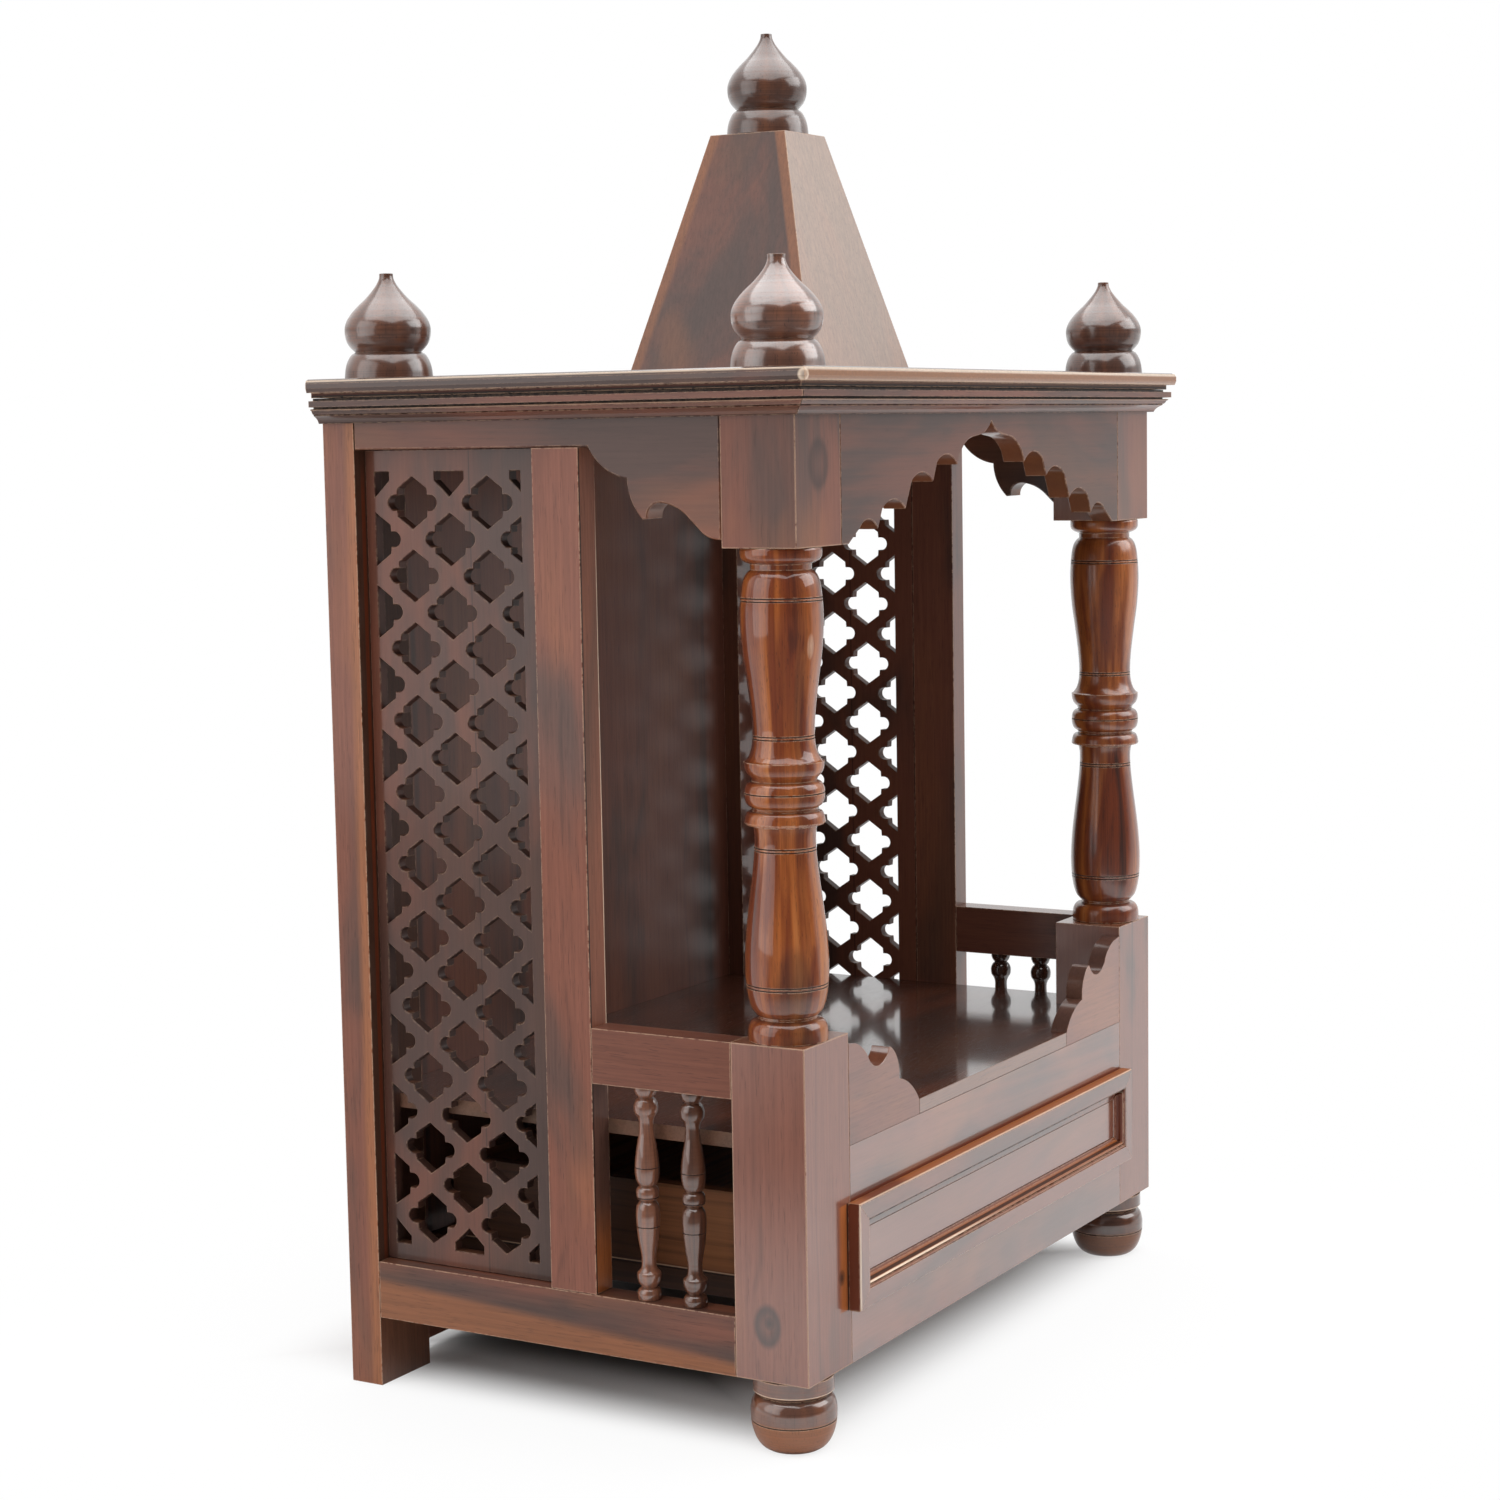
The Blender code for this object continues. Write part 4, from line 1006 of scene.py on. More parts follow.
# Cornice section: sharp corners between smooth runs, as (reach, height over its bottom)
CORNICE_BOTTOM = 0.6769
CORNICE_SECTION = (
    ((0.0003, 0.0), (0.004, 0.0)), ((0.0044, 0.0008),),
    ((0.0052, 0.0022), (0.0072, 0.004), (0.0096, 0.0054)), ((0.0092, 0.006),),
    ((0.0104, 0.0064),), ((0.0112, 0.0074), (0.0118, 0.0086)), ((0.0126, 0.0089),),
    ((0.013, 0.0094), (0.0126, 0.0099)), ((0.0094, 0.0101),), ((0.0094, 0.011),),
    ((0.0147, 0.0112),), ((0.0147, 0.0154),), ((0.0098, 0.0156),), ((0.0098, 0.0171),),
    ((0.0003, 0.0171),),
)
# Lines of the cornice: height over its bottom, half width, colour and share. The dark lines are
# painted shade in its quirks, where it meets the frieze and under the plate, and the light line is
# a painted highlight on its bead.
CORNICE_LINES = ((0.0004, 0.0005, "vein", 0.6), (0.0059, 0.0004, "vein", 0.7),
                 (0.0094, 0.0005, "bare", 0.5), (0.0105, 0.0009, "vein", 0.95),
                 (0.0166, 0.0014, "vein", 0.95))


class MANDIR_OT_cornice(bpy.types.Operator):
    """Cornice moulding with its two fine quirks, mitred at the front corners"""

    bl_idname = "mandir.cornice"
    bl_label = "Cornice"

    def execute(self, context):
        line = smooth_line(CORNICE_SECTION, context.scene.mandir_shapes.turning_step)
        section = [(reach, CORNICE_BOTTOM + height) for reach, height in line]
        wide = HALF_WIDTH
        runs = {
            "front": ("X", 1.0, lambda r, z: ((-wide - r + GAP, FRONT - r, z),
                                              (wide + r - GAP, FRONT - r, z))),
            "left": ("Y", 0.95, lambda r, z: ((-wide - r, FRONT - r + GAP, z),
                                              (-wide - r, BACK, z))),
            "right": ("Y", 0.95, lambda r, z: ((wide + r, FRONT - r + GAP, z),
                                               (wide + r, BACK, z))),
        }
        marks = [Mark("Z", CORNICE_BOTTOM + height, half=half, colour=colour, share=share,
                      dull=0.9 if colour == "vein" else 0.0)
                 for height, half, colour, share in CORNICE_LINES]
        for seed, (word, (grain, light, ends)) in enumerate(runs.items(), 21):
            look = Look(seed, dark=0.70, wear=0.5, light=light, veins=0.3, coat=0.6, marks=marks)
            add_piece(f"moulded_cornice_{word}", mitred_mesh(section, ends), grain, look,
                      "carcass", (f"cornice_{word}",), smooth=30.0)
        return {"FINISHED"}


# Sapwood beside the arrises of the side faces, and paler front and back faces, painted light
SPIRE_MARKS = (
    Mark("Y", -0.2506, -1, slope=0.2603, soft=0.0015, facing="X"),
    Mark("Y", 0.2542, 1, slope=-0.2603, soft=0.0025, facing="X"),
    Mark(*EVERYWHERE, facing="X", colour=None, dull=0.75),
    Mark(*EVERYWHERE, facing="Y", colour="bare", share=0.50),
)


class MANDIR_OT_spire(bpy.types.Operator):
    """Four-sided boxed spire with its mitred arrises"""

    bl_idname = "mandir.spire"
    bl_label = "Spire"

    def execute(self, context):
        look = Look(25, dark=0.68, light=0.92, veins=0.4, gloss=0.25, coat_ior=2.15,
                    patches=0.5, marks=SPIRE_MARKS)
        dress(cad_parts["spire"], timber("spire_wood", "Z", look),
              context.scene.mandir_shapes.edge_ease)
        return {"FINISHED"}


# Cusped arch in shares of its half span and rise
ARCH_APEX = 0.6712
ARCH_START = ((0.045, 0.0), (0.082, 0.070), (0.112, 0.120))
ARCH_TEETH = ((0.226, 0.105), (0.404, 0.262), (0.589, 0.482), (0.757, 0.622))
ARCH_RISERS = ((0.255, 0.272), (0.445, 0.490), (0.616, 0.645))
ARCH_CROWN = ((0.776, 0.725), (0.806, 0.795), (0.846, 0.850), (0.916, 0.880), (0.952, 0.902),
              (0.987, 0.962), (1.0, 1.0))
ARCH_CROWN_STEP = 0.0025
ARCH_SCALLOP_BULGE = 0.080
ARC_STEPS = 12
FRIEZE_THICKNESS = 0.0170
FRIEZE_LOOK = Look(
    31, dark=0.76, light=0.8, veins=0.12, coat=0.5, grain=0.4, wear=0.6,
    marks=(Mark(*EVERYWHERE, facing="Z", share=0.35), Mark(*EVERYWHERE, facing="X", share=0.35)))


class MANDIR_OT_frieze(bpy.types.Operator):
    """Front board with its cusped arch"""

    bl_idname = "mandir.frieze"
    bl_label = "Frieze"

    def execute(self, context):
        left = -HALF_WIDTH + POST_WIDTH + GAP
        rise = ARCH_APEX - TOP_BLOCK_BOTTOM

        def spot(share):
            return left * (1 - share[0]), TOP_BLOCK_BOTTOM + rise * share[1]

        half = [spot((0.0, 0.0)), *map(spot, ARCH_START)]
        for i, tooth in enumerate(ARCH_TEETH):
            half += arc(half[-1], spot(tooth), rise * ARCH_SCALLOP_BULGE)
            half += map(spot, ARCH_RISERS[i:i + 1])
        half += spline([spot(share) for share in ARCH_CROWN], ARCH_CROWN_STEP)
        other = [(-x, z) for x, z in reversed(half[:-1])]
        outline = half + other + [(-left, BOARD_TOP), (left, BOARD_TOP)]
        bm = fretted_mesh(outline, (), "Y", FRONT, FRIEZE_THICKNESS,
                          context.scene.mandir_shapes.fret_ease)
        add_piece("arched_frieze", bm, "X", FRIEZE_LOOK, "carcass",
                  ("frieze_front",))
        return {"FINISHED"}


# Side bracket in shares of its run and drop, with the bulge of each curve
SIDE_BRACKET_RAISE = 0.0055
SIDE_BRACKET_EASE = 1.8
SIDE_BRACKET_CURVES = (
    ((0.070, 0.0), None), ((0.344, 0.347), 0.0045), ((0.453, 0.787), 0.0029),
    ((0.487, 0.780), None), ((0.601, 0.613), -0.0042), ((0.778, 0.776), -0.0018),
    ((0.861, 0.920), None), ((1.0, 1.0), 0.0016),
)
# Front bracket, in the same way
BRACKET_LENGTH = 0.1024
BRACKET_THICKNESS = 0.0135
BRACKET_DROP = 0.0063
BRACKET_LIFT = 0.00003
BRACKET_EASE = 0.5
BRACKET_CURVES = (
    ((0.710, 0.444), -0.0036), ((0.593, 0.791), -0.0042), ((0.571, 0.793), None),
    ((0.267, 0.800), 0.0098), ((0.097, 0.962), -0.0015), ((0.0, 0.985), None),
)


def curved(points, curves, place):
    """Outline carried on over placed shares; a curve without a bulge is a straight line."""
    for share, bulge in curves:
        spot = place(share)
        points += arc(points[-1], spot, bulge) if bulge else [spot]
    return points


class MANDIR_OT_side_rails(bpy.types.Operator):
    """Side top rails with the cusped bracket at their front end"""

    bl_idname = "mandir.side_rails"
    bl_label = "Side top rails"

    def execute(self, context):
        ease = context.scene.mandir_shapes.fret_ease * SIDE_BRACKET_EASE
        run = STILE_FRONT - POST_REAR - GAP
        drop = TOP_RAIL_BOTTOM - TOP_BLOCK_BOTTOM - SIDE_BRACKET_RAISE

        def spot(share):
            return STILE_FRONT - run * share[0], TOP_RAIL_BOTTOM - drop * share[1]

        edge = curved([(STILE_FRONT, TOP_RAIL_BOTTOM)], SIDE_BRACKET_CURVES, spot)
        rear, front = REAR_POST_FACE - GAP, POST_REAR + GAP
        outline = [(rear, TOP_RAIL_BOTTOM), *edge, (front, BOARD_TOP), (rear, BOARD_TOP)]
        for side, word in SIDES:
            start = -HALF_WIDTH if side < 0 else HALF_WIDTH - BOARD
            look = Look(34 + side, dark=0.72, veins=0.12, coat=0.5, grain=0.5, wear=0.5)
            add_piece(f"{word}_bracketed_rail", fretted_mesh(outline, (), "X", start, BOARD, ease),
                      "Y", look, "carcass", (f"{word}_top_rail",))
        return {"FINISHED"}


class MANDIR_OT_front_brackets(bpy.types.Operator):
    """Cusped brackets beside the front posts"""

    bl_idname = "mandir.front_brackets"
    bl_label = "Front brackets"

    def execute(self, context):
        ease = context.scene.mandir_shapes.fret_ease * BRACKET_EASE
        inner = HALF_WIDTH - POST_WIDTH - GAP
        low = PLATFORM_UNDERSIDE + BRACKET_LIFT
        height = POST_TOP - BRACKET_DROP - low

        def spot(share):
            return BRACKET_LENGTH * share[0], low + height * share[1]

        foot = [(0.0, low), (BRACKET_LENGTH, low), (BRACKET_LENGTH, PLATFORM_TOP)]
        shape = curved(foot, BRACKET_CURVES, spot)
        for side, word in SIDES:
            outline = [(side * (inner - run), z) for run, z in shape]
            # Painted shade: the right bracket's cut faces dark, with their lacquer mostly taken
            # off
            marks = [Mark(*EVERYWHERE, facing=way, colour="dark", share=0.8, dull=0.7)
                     for way in "XZ" if side > 0]
            look = Look(38 + side, dark=0.45, light=1.2, coat_ior=1.8, grain=0.8, patches=0.5,
                        wear=0.3, marks=marks)
            bm = fretted_mesh(outline, (), "Y", FRONT, BRACKET_THICKNESS, ease)
            add_piece(f"cusped_{word}_bracket", bm, "X", look, "carcass",
                      (f"front_{word}_bracket",))
        return {"FINISHED"}


def turned_form(runs, radius, length, scribes=(), low=0.0, fine=1.0, shallow=1.0, spread=1.2):
    """Profile of a turning, and the height and half width of each line scribed round it."""
    shapes = bpy.context.scene.mandir_shapes
    heights = [share * length for share in scribes]
    half = SCRIBE_HALF * fine
    profile = scribed(smooth_line(runs, shapes.turning_step, radius, length), heights, half,
                      shapes.scribe_depth * shallow)
    return profile, tuple((low + height, half * spread) for height in heights)


def add_turning(name, node, profile, seat, look, kind="bulb", sides=1.0):
    """Turned piece over a node, its wood laid round the seat's upright axis."""
    facets = round(bpy.context.scene.mandir_shapes.turning_sides * sides)
    add_piece(name, turned_mesh(profile, seat, facets), "Z", look, "carcass",
              (node,), turning=kind, axis=seat[:2])


# Turned column in shares of radius and length, from the top down
COLUMN_RADIUS = 0.0274
COLUMN_SECTIONS = (
    ((0.945, 1.0), (0.97, 0.997)), ((0.97, 0.986), (0.945, 0.979), (0.88, 0.9735), (0.79, 0.97)),
    ((0.725, 0.968),), ((0.722, 0.9565),),
    ((0.8, 0.951), (0.869, 0.942), (0.92, 0.928), (0.955, 0.908), (0.985, 0.86), (0.945, 0.795),
     (0.85, 0.733), (0.765, 0.672), (0.735, 0.63), (0.755, 0.603), (0.82, 0.583), (0.905, 0.572)),
    ((0.955, 0.57),), ((0.95, 0.559), (0.9, 0.547), (0.8, 0.5375)), ((0.775, 0.531),),
    ((0.88, 0.5265), (0.94, 0.518), (0.958, 0.507), (0.948, 0.494), (0.895, 0.483),
     (0.79, 0.4765)),
    ((0.775, 0.4705),), ((0.88, 0.468), (0.935, 0.46), (0.968, 0.4465)), ((0.945, 0.443),),
    ((0.77, 0.4395),),
    ((0.735, 0.424), (0.735, 0.392), (0.795, 0.339), (0.885, 0.279), (0.96, 0.222), (1.0, 0.164),
     (0.985, 0.119), (0.935, 0.087), (0.85, 0.064), (0.75, 0.053)),
    ((0.69, 0.05),), ((0.7, 0.045),), ((0.85, 0.04), (0.935, 0.029), (0.96, 0.015), (0.955, 0.0)),
)
COLUMN_SCRIBES = (0.9005, 0.8945, 0.6225, 0.6165, 0.5065, 0.3955, 0.3895, 0.1170, 0.1105)
SCRIBE_HALF = 0.00042
# What sets each column's look apart from the other's
COLUMN_LOOKS = {
    "left": dict(
        light=1.25, gloss=0.06, coat_ior=1.58,
        knots=(Knot((-0.2830, -0.1690, 0.3010), 0.0150, 0.0380, core=0.75, rim=0.45),
               Knot((-0.2720, -0.1760, 0.2700), 0.0100, 0.0200, core=0.50, rim=0.30),
               Knot((-0.2690, -0.1772, 0.5290), 0.0035, 0.0100, 0.45, 0.25, "pale")),
        stripes=(Stripe(-167.0, 6.0, "column_red", 0.9), Stripe(-140.0, 16.0, "column_red", 0.6),
                 Stripe(-122.0, 9.0, "vein", 0.6), Stripe(-104.0, 6.0, "column_red", 0.9),
                 Stripe(-84.0, 14.0, "golden", 0.5, dull=0.7))),
    "right": dict(light=1.15, gloss=0.20, coat_ior=1.72),
}


class MANDIR_OT_columns(bpy.types.Operator):
    """Turned front columns with their beads and scribed lines"""

    bl_idname = "mandir.columns"
    bl_label = "Columns"

    def execute(self, context):
        low = POST_TOP + GAP
        profile, lines = turned_form(COLUMN_SECTIONS, COLUMN_RADIUS,
                                     TOP_BLOCK_BOTTOM - GAP - low, COLUMN_SCRIBES, low)
        for side, word in SIDES:
            look = Look(43 + side, dark=0.90, veins=0.8, scribed=lines, wear=0.9, grain=1.2,
                        **COLUMN_LOOKS[word])
            add_turning(f"{word}_turned_column", f"{word}_column", profile,
                        (side * TURNING_AXIS[0], TURNING_AXIS[1], low), look, "column")
        return {"FINISHED"}


# Onion finial in shares of its radius and height, from the top down
FINIAL_SECTIONS = (
    ((0.11, 1.0), (0.14, 0.996)),
    ((0.15, 0.96), (0.22, 0.9), (0.34, 0.835), (0.5, 0.76), (0.7, 0.682), (0.85, 0.612),
     (0.945, 0.55), (0.99, 0.498), (1.0, 0.46), (0.985, 0.388), (0.93, 0.325), (0.85, 0.283),
     (0.79, 0.258)),
    ((0.77, 0.246),), ((0.84, 0.232), (0.905, 0.2), (0.965, 0.15), (1.005, 0.09), (1.03, 0.0)),
)
# Seat, radius, height, how much wider the tip is than the thinnest, then how light the wood
# is and the index of its lacquer
FINIAL_SEATS = {
    "spire_finial": ((0.0, 0.0018, 0.8816), 0.0290, 0.0728, 0.0, 0.72, 1.68),
    "front_left_finial": ((-0.2610, -0.15085, 0.7073), 0.0296, 0.0712, 0.060, 1.2, 2.12),
    "front_right_finial": ((0.2610, -0.15085, 0.7073), 0.0293, 0.0712, 0.0, 0.85, 1.8),
    "rear_left_finial": ((-0.2610, 0.15605, 0.7073), 0.0294, 0.0712, 0.020, 0.85, 1.8),
    "rear_right_finial": ((0.2610, 0.15605, 0.7073), 0.0294, 0.0712, 0.020, 0.85, 1.8),
}
FINIAL_NECK = 0.86


class MANDIR_OT_finials(bpy.types.Operator):
    """Onion finials on the spire and at the plate's corners"""

    bl_idname = "mandir.finials"
    bl_label = "Finials"

    def execute(self, context):
        for seed, (name, row) in enumerate(FINIAL_SEATS.items(), 50):
            seat, radius, height, tip, light, index = row
            runs = [[(share + tip * max(rise - FINIAL_NECK, 0.0) / (1.0 - FINIAL_NECK), rise)
                     for share, rise in run] for run in FINIAL_SECTIONS]
            look = Look(seed, dark=0.80, light=light, veins=0.35, wear=0.4, rough=0.30,
                        gloss=0.17, coat_ior=index, specular=0.3, grain=1.8)
            add_turning(f"turned_{name}", name, turned_form(runs, radius, height)[0], seat, look)
        return {"FINISHED"}


FOOT_RADIUS = 0.0288
FOOT_HEIGHT = 0.0492
FOOT_SECTIONS = (
    ((0.94, 1.0), (0.94, 0.8)), ((0.86, 0.765), (0.8, 0.742)),
    ((0.87, 0.72), (0.94, 0.672), (0.985, 0.592), (1.0, 0.505), (0.985, 0.365), (0.935, 0.23),
     (0.85, 0.115), (0.745, 0.04), (0.64, 0.0)),
)
FOOT_SCRIBE = 0.395
FOOT_COLLAR = 0.800


class MANDIR_OT_feet(bpy.types.Operator):
    """Bun feet under the front posts"""

    bl_idname = "mandir.feet"
    bl_label = "Feet"

    def execute(self, context):
        profile, lines = turned_form(FOOT_SECTIONS, FOOT_RADIUS, FOOT_HEIGHT, (FOOT_SCRIBE,))
        marks = (Mark("Z", lines[0][0] * 1.05, -1, soft=0.0020, dull=0.6),
                 Mark("Z", FOOT_COLLAR * FOOT_HEIGHT, half=0.0006, colour="pale", share=0.6))
        for side, word in SIDES:
            look = Look(57 + side, dark=0.80, light=1.1 if side < 0 else 0.72, veins=0.3,
                        rough=0.30, wear=1.2, coat_ior=1.9, marks=marks, scribed=lines)
            add_turning(f"turned_{word}_foot", f"front_{word}_foot", profile,
                        (side * TURNING_AXIS[0], TURNING_AXIS[1], 0.0), look)
        return {"FINISHED"}


BALUSTER_RADIUS = 0.0084
# For each baluster from the front: its place, its lightness left and right, and the bearing
# and half width of the painted shade down one side
BALUSTERS = (
    (-0.0862, {"left": 0.70, "right": 0.35}, -85.0, 42.0),
    (-0.0502, {"left": 1.45, "right": 0.35}, -71.0, 30.0),
)
BALUSTER_SECTIONS = (
    ((0.92, 1.0), (0.93, 0.985)), ((0.8, 0.965), (0.6, 0.95)),
    ((0.8, 0.94), (0.97, 0.917), (0.985, 0.9), (0.93, 0.88), (0.78, 0.866)), ((0.7, 0.858),),
    ((0.6, 0.84), (0.61, 0.79), (0.84, 0.71), (0.99, 0.635), (0.98, 0.59), (0.88, 0.56),
     (0.7, 0.54)),
    ((0.62, 0.535),), ((0.86, 0.523), (0.93, 0.5), (0.86, 0.477), (0.62, 0.465)), ((0.7, 0.46),),
    ((0.88, 0.445), (0.985, 0.405), (0.97, 0.365), (0.84, 0.285), (0.61, 0.205), (0.59, 0.165),
     (0.64, 0.145)),
    ((0.96, 0.125),), ((0.975, 0.11), (0.87, 0.08), (0.6, 0.056)),
    ((0.83, 0.048), (0.96, 0.03), (0.92, 0.0)),
)
BALUSTER_SCRIBES = (0.624, 0.482, 0.345)


class MANDIR_OT_balusters(bpy.types.Operator):
    """Small balusters in the side windows"""

    bl_idname = "mandir.balusters"
    bl_label = "Balusters"

    def execute(self, context):
        low = SIDE_RAIL_TOP + GAP
        profile, lines = turned_form(
            BALUSTER_SECTIONS, BALUSTER_RADIUS, ARM_RAIL_BOTTOM - GAP - low, BALUSTER_SCRIBES,
            low, fine=0.8, shallow=0.7, spread=1.3)
        for side, word in SIDES:
            for i, (y, lights, bearing, half) in enumerate(BALUSTERS):
                # Painted shade down one side of the baluster, nearly black and without lacquer
                shaded_side = Stripe(bearing, half, "vein", 0.9, dull=0.95)
                look = Look(61 + 2 * side + i, light=lights[word], veins=0.3, stripes=(shaded_side,),
                            scribed=lines, wear=0.3, gloss=0.04, coat_ior=1.85, grain=0.4)
                name = f"{word}_baluster_{i + 1}"
                add_turning(f"turned_{name}", name, profile,
                            (side * (HALF_WIDTH - BOARD / 2), y, low), look, sides=0.5)
        return {"FINISHED"}


# Pierced jali panel
JALI_X = (0.2673, 0.2755)
JALI_Y = (0.02265, 0.16815)
JALI_Z = (0.0903, 0.6584)
JALI_COLUMN_YS = (0.0357, 0.0668, 0.0979, 0.1290, 0.1601)
JALI_BORDER_Y = (0.0395, 0.1601)
JALI_BORDER_Z = (0.1023, 0.6434)
JALI_MIDDLE_Z = 0.37285
JALI_ROW_STEP = 0.02495
JALI_ROWS = 11
JALI_BOARD_JOINT = 0.0811
MOTIF_HALF_HEIGHT = 0.0179
MOTIF_CUT_EXTRA = 0.0030
MOTIF_SHOULDER = 0.0120
MOTIF_SHOULDER_RISE = 0.0097
MOTIF_LOBE_REACH = 0.0203
MOTIF_LOBE_HALF = 0.0052
MOTIF_LOBE_STEPS = 7
SHORTEST_EDGE = 0.0003


def jali_motif(centre_y, centre_z, lobed):
    """One hole, pointed above and below and rounded at each side."""
    if lobed:
        centre = MOTIF_LOBE_REACH - MOTIF_LOBE_HALF
        quarter = [(0.0, MOTIF_HALF_HEIGHT), (MOTIF_SHOULDER, MOTIF_SHOULDER_RISE),
                   (MOTIF_SHOULDER + 0.0004, MOTIF_LOBE_HALF)]
        for i in range(MOTIF_LOBE_STEPS + 1):
            turn = math.pi / 2 * (1 - i / MOTIF_LOBE_STEPS)
            quarter.append((centre + MOTIF_LOBE_HALF * math.cos(turn),
                            MOTIF_LOBE_HALF * math.sin(turn)))
    else:
        quarter = [(0.0, MOTIF_HALF_HEIGHT + MOTIF_CUT_EXTRA),
                   (MOTIF_SHOULDER, MOTIF_SHOULDER_RISE)]
    right = quarter + [(a, -b) for a, b in reversed(quarter) if b > NO_LENGTH]
    outline = right + [(-a, b) for a, b in reversed(right[1:-1])]
    return [(centre_y + a, centre_z + b) for a, b in outline]


def clipped(outline, axis, limit, keep):
    """Outline cut at one straight line; keep is 1 for the far side and -1 for the near."""
    result = []
    for i, point in enumerate(outline):
        before = outline[i - 1]
        inside = (point[axis] - limit) * keep >= 0
        was_inside = (before[axis] - limit) * keep >= 0
        if inside != was_inside:
            share = (limit - before[axis]) / (point[axis] - before[axis])
            result.append(tuple(b + (p - b) * share for b, p in zip(before, point)))
        if inside:
            result.append(point)
    return [point for i, point in enumerate(result)
            if math.dist(point, result[i - 1]) > SHORTEST_EDGE]


def jali_holes():
    """Staggered rows of motifs, cut straight at the border of the pattern."""
    border = ((0, JALI_BORDER_Y[0], 1), (0, JALI_BORDER_Y[1], -1),
              (1, JALI_BORDER_Z[0], 1), (1, JALI_BORDER_Z[1], -1))
    holes = []
    for row in range(-1, 2 * JALI_ROWS):
        z = JALI_MIDDLE_Z + (JALI_ROWS - 1 - row) * JALI_ROW_STEP
        lobed = JALI_BORDER_Z[0] + MOTIF_LOBE_HALF < z < JALI_BORDER_Z[1] - MOTIF_LOBE_HALF
        for column, y in enumerate(JALI_COLUMN_YS):
            if (row + column) % 2 == 0:
                continue
            outline = jali_motif(y, z, lobed)
            for axis, limit, keep in border:
                outline = clipped(outline, axis, limit, keep)
            if len(outline) > 2:
                holes.append(outline)
    return holes


class MANDIR_OT_jali(bpy.types.Operator):
    """Pierced jali panels in the sides"""

    bl_idname = "mandir.jali"
    bl_label = "Jali panels"

    def execute(self, context):
        (near, far), (low, high) = JALI_Y, JALI_Z
        outline = [(near, low), (far, low), (far, high), (near, high)]
        holes = jali_holes()
        joint = Mark("Y", JALI_BOARD_JOINT, half=0.0006, colour="vein", share=0.6)
        # Painted shade: the walls of the holes darker
        shaded_walls = [Mark(*EVERYWHERE, facing=way, colour="vein", share=0.6, dull=0.8)
                 for way in "YZ"]
        for side, word in SIDES:
            start = JALI_X[0] if side > 0 else -JALI_X[1]
            bm = fretted_mesh(outline, holes, "X", start, JALI_X[1] - JALI_X[0],
                              context.scene.mandir_shapes.fret_ease)
            look = Look(71 + side, dark=0.68, light=0.95, wear=0.35, veins=0.2, patches=0.12,
                        coat=0.55, grain=0.6, marks=(joint, *shaded_walls))
            add_piece(f"pierced_{word}_jali", bm, "Z", look, "carcass",
                      (f"{word}_jali_panel",))
        return {"FINISHED"}


# Drawer front: outer size, frame strip, inner moulding and panel
DRAWER_HALF = 0.2310
DRAWER_FACE = -0.18615
DRAWER_REAR = -0.17715
DRAWER_Z = (0.0866, 0.1593)
DRAWER_STRIP = 0.0127
DRAWER_MOULDING = 0.0085
DRAWER_RECESS = 0.0075
DRAWER_MITRE_GAP = 0.00008
DRAWER_STRIP_STEP = 0.0005
DRAWER_PANEL_EASE = 0.4
# Strip section from its outer edge inward, as (inset from the outside, depth from the face)
DRAWER_STRIP_SECTION = (
    ((0.0, 0.009), (0.0, 0.0012)), ((0.001, 0.0001),), ((0.01, 0.0),), ((0.0127, 0.0),),
    ((0.0131, 0.001),), ((0.0147, 0.0012),), ((0.0149, 0.0022),),
    ((0.0156, 0.0014), (0.0166, 0.0016), (0.0174, 0.0028)), ((0.0178, 0.005), (0.019, 0.0066)),
    ((0.0208, 0.0069),), ((0.0212, 0.0075),), ((0.0212, 0.009),),
)

# Top and left strips, whose inner side is a plain step
DRAWER_STEP_SECTION = (
    *DRAWER_STRIP_SECTION[:3],
    ((0.0131, 0.0),), ((0.0135, 0.007),), ((0.0212, 0.0075),), ((0.0212, 0.009),),
)

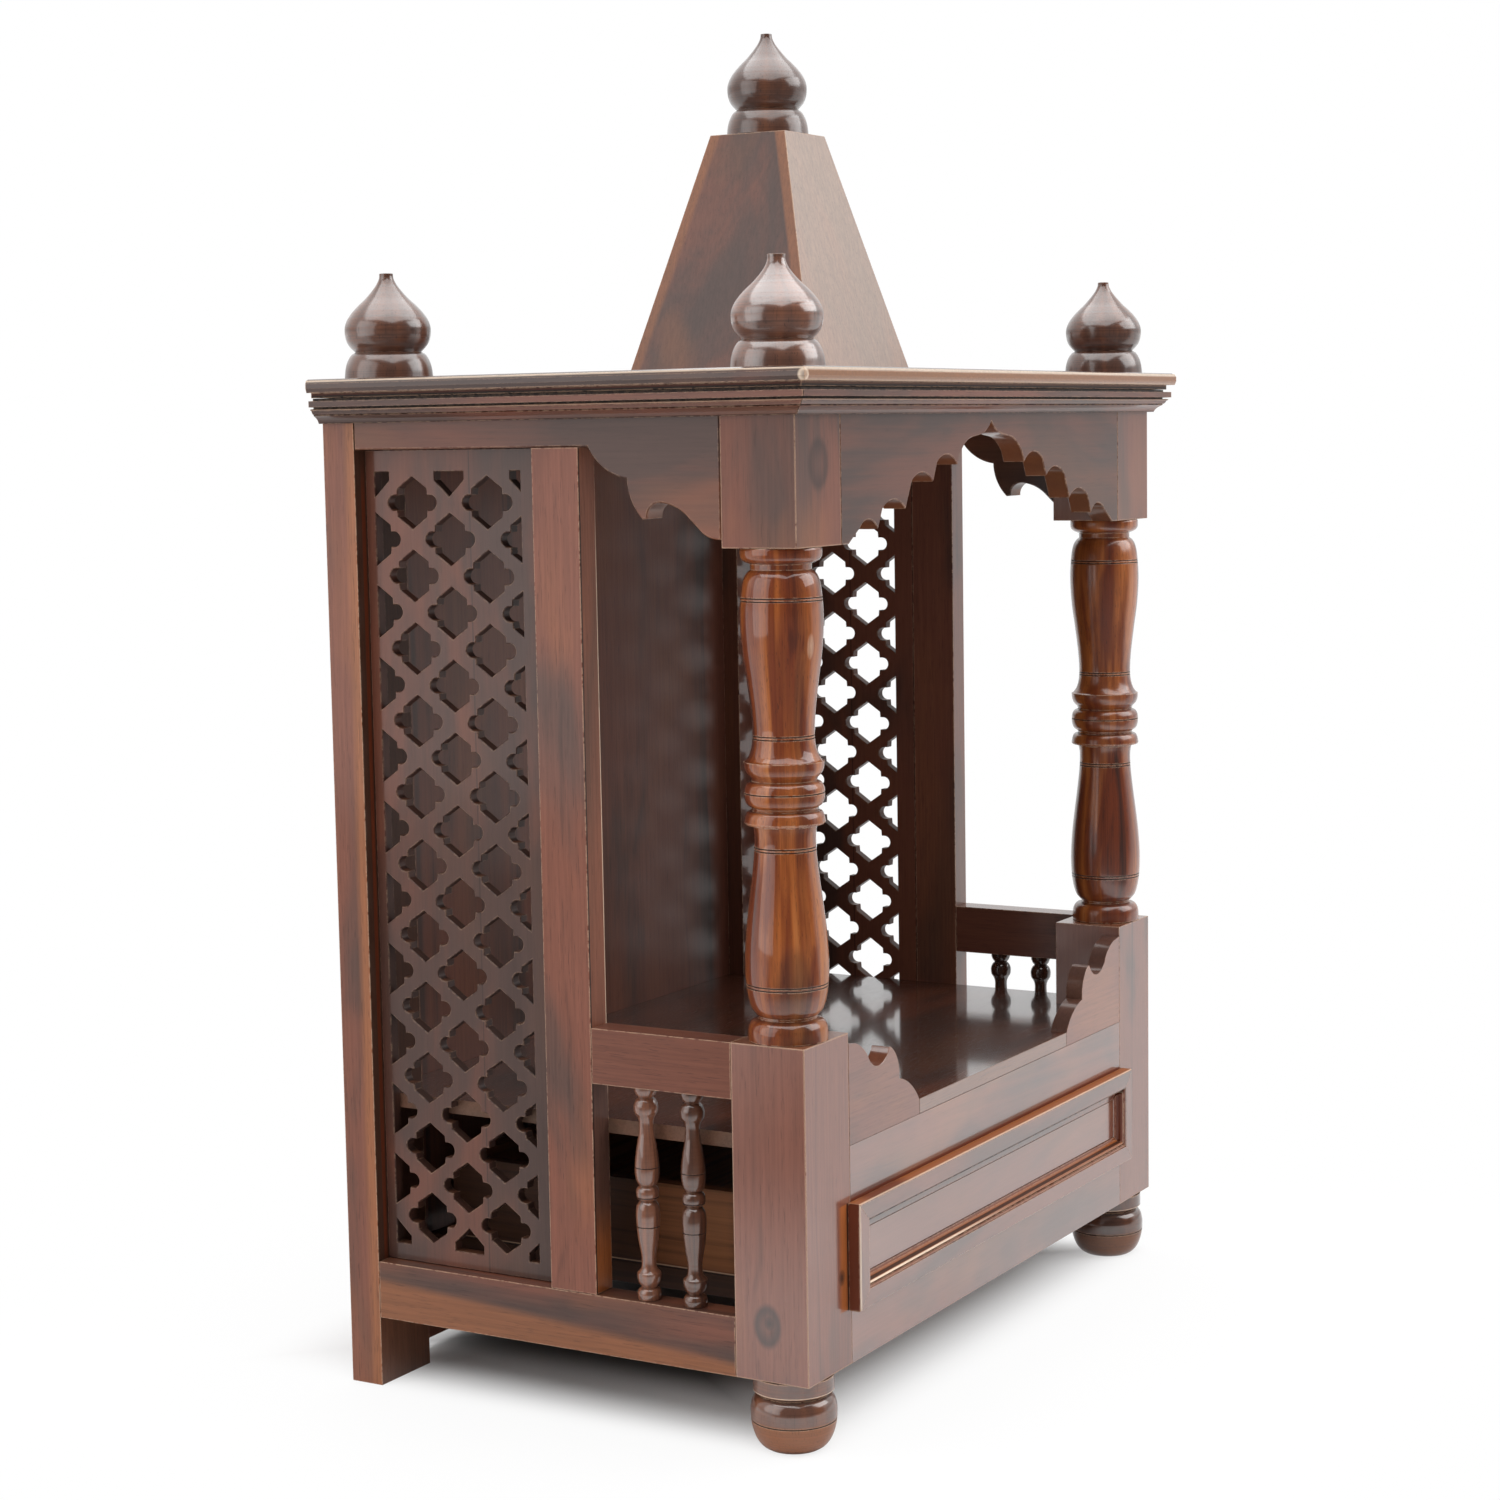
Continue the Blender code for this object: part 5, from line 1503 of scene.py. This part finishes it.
# Orange and dark faces of the strips, and the lines of their moulding: the bright lines on the top
# and left arrises, the bead and the right moulding are painted highlights, and the dark lines and
# the right strip's dark band are painted shade in the step, quirks and coves
DRAWER_MARKS = {
    "top": (
        Mark("Z", 0.1586, 1, soft=0.0002, colour="column", share=0.95, facing="Z", dull=0.9),
        Mark("Z", 0.1586, 1, soft=0.0002, colour="column_red", share=0.8, facing="Z", dull=0.9,
             spans=(("X", -0.215, -0.160, 0.01),)),
        # Painted highlight on the top arris, and painted shade at the step
        Mark("Z", 0.1590, half=0.0005, colour="pale", share=0.45, facing="Y"),
        Mark("Z", 0.1462, half=0.0009, colour="vein", share=0.95, dull=0.95),
    ),
    "bottom": (
        # Orange moulding with painted shade in its quirk, cove and crease, and a painted highlight
        # on its bead
        Mark("Z", 0.1035, half=0.0045, colour="column", share=0.80, dull=0.75),
        Mark("Z", 0.1066, half=0.0010, colour="column_red", share=0.60, dull=0.3),
        Mark("Z", 0.1041, half=0.0005, colour="vein", share=0.85, dull=0.9),
        Mark("Z", 0.0869, half=0.0005, colour="pale", share=0.6, facing="Y"),
        Mark("Z", 0.1026, half=0.0011, colour="sap", share=0.9),
        Mark("Z", 0.1026, half=0.0010, colour="pale", share=0.95,
             spans=(("X", -0.30, -0.06, 0.08),)),
        Mark("Z", 0.1011, half=0.0006, colour="vein", share=0.7, dull=0.9),
    ),
    "left": (
        Mark("X", -0.2306, -1, soft=0.0003, colour="column_red", share=0.7, dull=0.9),
        # Painted highlight on the left arris
        Mark("X", -0.2301, half=0.0007, colour="pale", share=0.6, facing="Y"),
    ),
    "right": (
        # Painted shade in the right moulding, with a painted highlight on it
        Mark("X", 0.2140, half=0.0046, colour="column_red", share=0.85, dull=0.9),
        Mark("X", 0.2152, half=0.0006, colour="pale", share=0.35),
    ),
}


class MANDIR_OT_drawer_front(bpy.types.Operator):
    """Drawer front: four mitred strips round a sunk panel"""

    bl_idname = "mandir.drawer_front"
    bl_label = "Drawer front"

    def execute(self, context):
        self.add_strips()
        self.add_panel(context.scene.mandir_shapes.fret_ease * DRAWER_PANEL_EASE)
        return {"FINISHED"}

    def add_strips(self):
        low, high = DRAWER_Z
        wide, gap = DRAWER_HALF, DRAWER_MITRE_GAP
        strips = {
            "top": ("X", lambda t, y: ((-wide + t + gap, y, high - t),
                                       (wide - t - gap, y, high - t))),
            "bottom": ("X", lambda t, y: ((-wide + t + gap, y, low + t),
                                          (wide - t - gap, y, low + t))),
            "left": ("Z", lambda t, y: ((-wide + t, y, low + t + gap),
                                        (-wide + t, y, high - t - gap))),
            "right": ("Z", lambda t, y: ((wide - t, y, low + t + gap),
                                         (wide - t, y, high - t - gap))),
        }
        for seed, (word, (grain, ends)) in enumerate(strips.items(), 81):
            runs = DRAWER_STEP_SECTION if word in {"top", "left"} else DRAWER_STRIP_SECTION
            section = [(inset, DRAWER_FACE + depth)
                       for inset, depth in smooth_line(runs, DRAWER_STRIP_STEP)]
            look = Look(seed, dark=0.45, light=1.2, coat_ior=2.25, grain=0.35, wear=0.6,
                        marks=DRAWER_MARKS[word])
            add_piece(f"drawer_{word}_strip", mitred_mesh(section, ends), grain, look, "drawer",
                      smooth=28.0)

    def add_panel(self, ease):
        inset = DRAWER_STRIP + DRAWER_MOULDING + GAP
        x, low, high = DRAWER_HALF - inset, DRAWER_Z[0] + inset, DRAWER_Z[1] - inset
        outline = [(-x, low), (x, low), (x, high), (-x, high)]
        start = DRAWER_FACE + DRAWER_RECESS
        bm = fretted_mesh(outline, (), "Y", start, DRAWER_REAR - start, ease)
        look = Look(86, dark=0.40, light=1.2, veins=0.2, coat_ior=2.55, grain=0.3, wear=0.2)
        add_piece("drawer_sunk_panel", bm, "X", look, "drawer",
                  ("drawer_front",))


class MANDIR_PT_panel(bpy.types.Panel):
    """Sidebar list of the shrine's pieces and finishes"""

    bl_idname = "MANDIR_PT_panel"
    bl_label = "Pooja mandir"
    bl_space_type = "VIEW_3D"
    bl_region_type = "UI"
    bl_category = "Mandir"

    def draw(self, context):
        scene = context.scene
        for group in (scene.mandir_shapes, scene.mandir_timber, scene.mandir_stage):
            box = self.layout.box()
            for key in group.bl_rna.properties.keys():
                if key not in {"rna_type", "name"}:
                    box.prop(group, key)
        for operator in OPERATORS:
            self.layout.operator(operator.bl_idname)


OPERATORS = (
    MANDIR_OT_stage, MANDIR_OT_boards, MANDIR_OT_inside, MANDIR_OT_cornice, MANDIR_OT_spire,
    MANDIR_OT_frieze, MANDIR_OT_side_rails, MANDIR_OT_front_brackets, MANDIR_OT_columns,
    MANDIR_OT_finials, MANDIR_OT_feet, MANDIR_OT_balusters, MANDIR_OT_jali,
    MANDIR_OT_drawer_front,
)
GROUPS = (
    (MandirShapes, "mandir_shapes"), (MandirTimber, "mandir_timber"),
    (MandirStage, "mandir_stage"),
)


def register():
    for group, attribute in GROUPS:
        bpy.utils.register_class(group)
        setattr(bpy.types.Scene, attribute, PointerProperty(type=group))
    for operator in OPERATORS:
        bpy.utils.register_class(operator)
    bpy.utils.register_class(MANDIR_PT_panel)


def unregister():
    bpy.utils.unregister_class(MANDIR_PT_panel)
    for operator in reversed(OPERATORS):
        bpy.utils.unregister_class(operator)
    for group, attribute in reversed(GROUPS):
        delattr(bpy.types.Scene, attribute)
        bpy.utils.unregister_class(group)


def main():
    register()
    for operator in OPERATORS:
        group, name = operator.bl_idname.split(".")
        getattr(getattr(bpy.ops, group), name)()


if __name__ == "__main__":
    main()
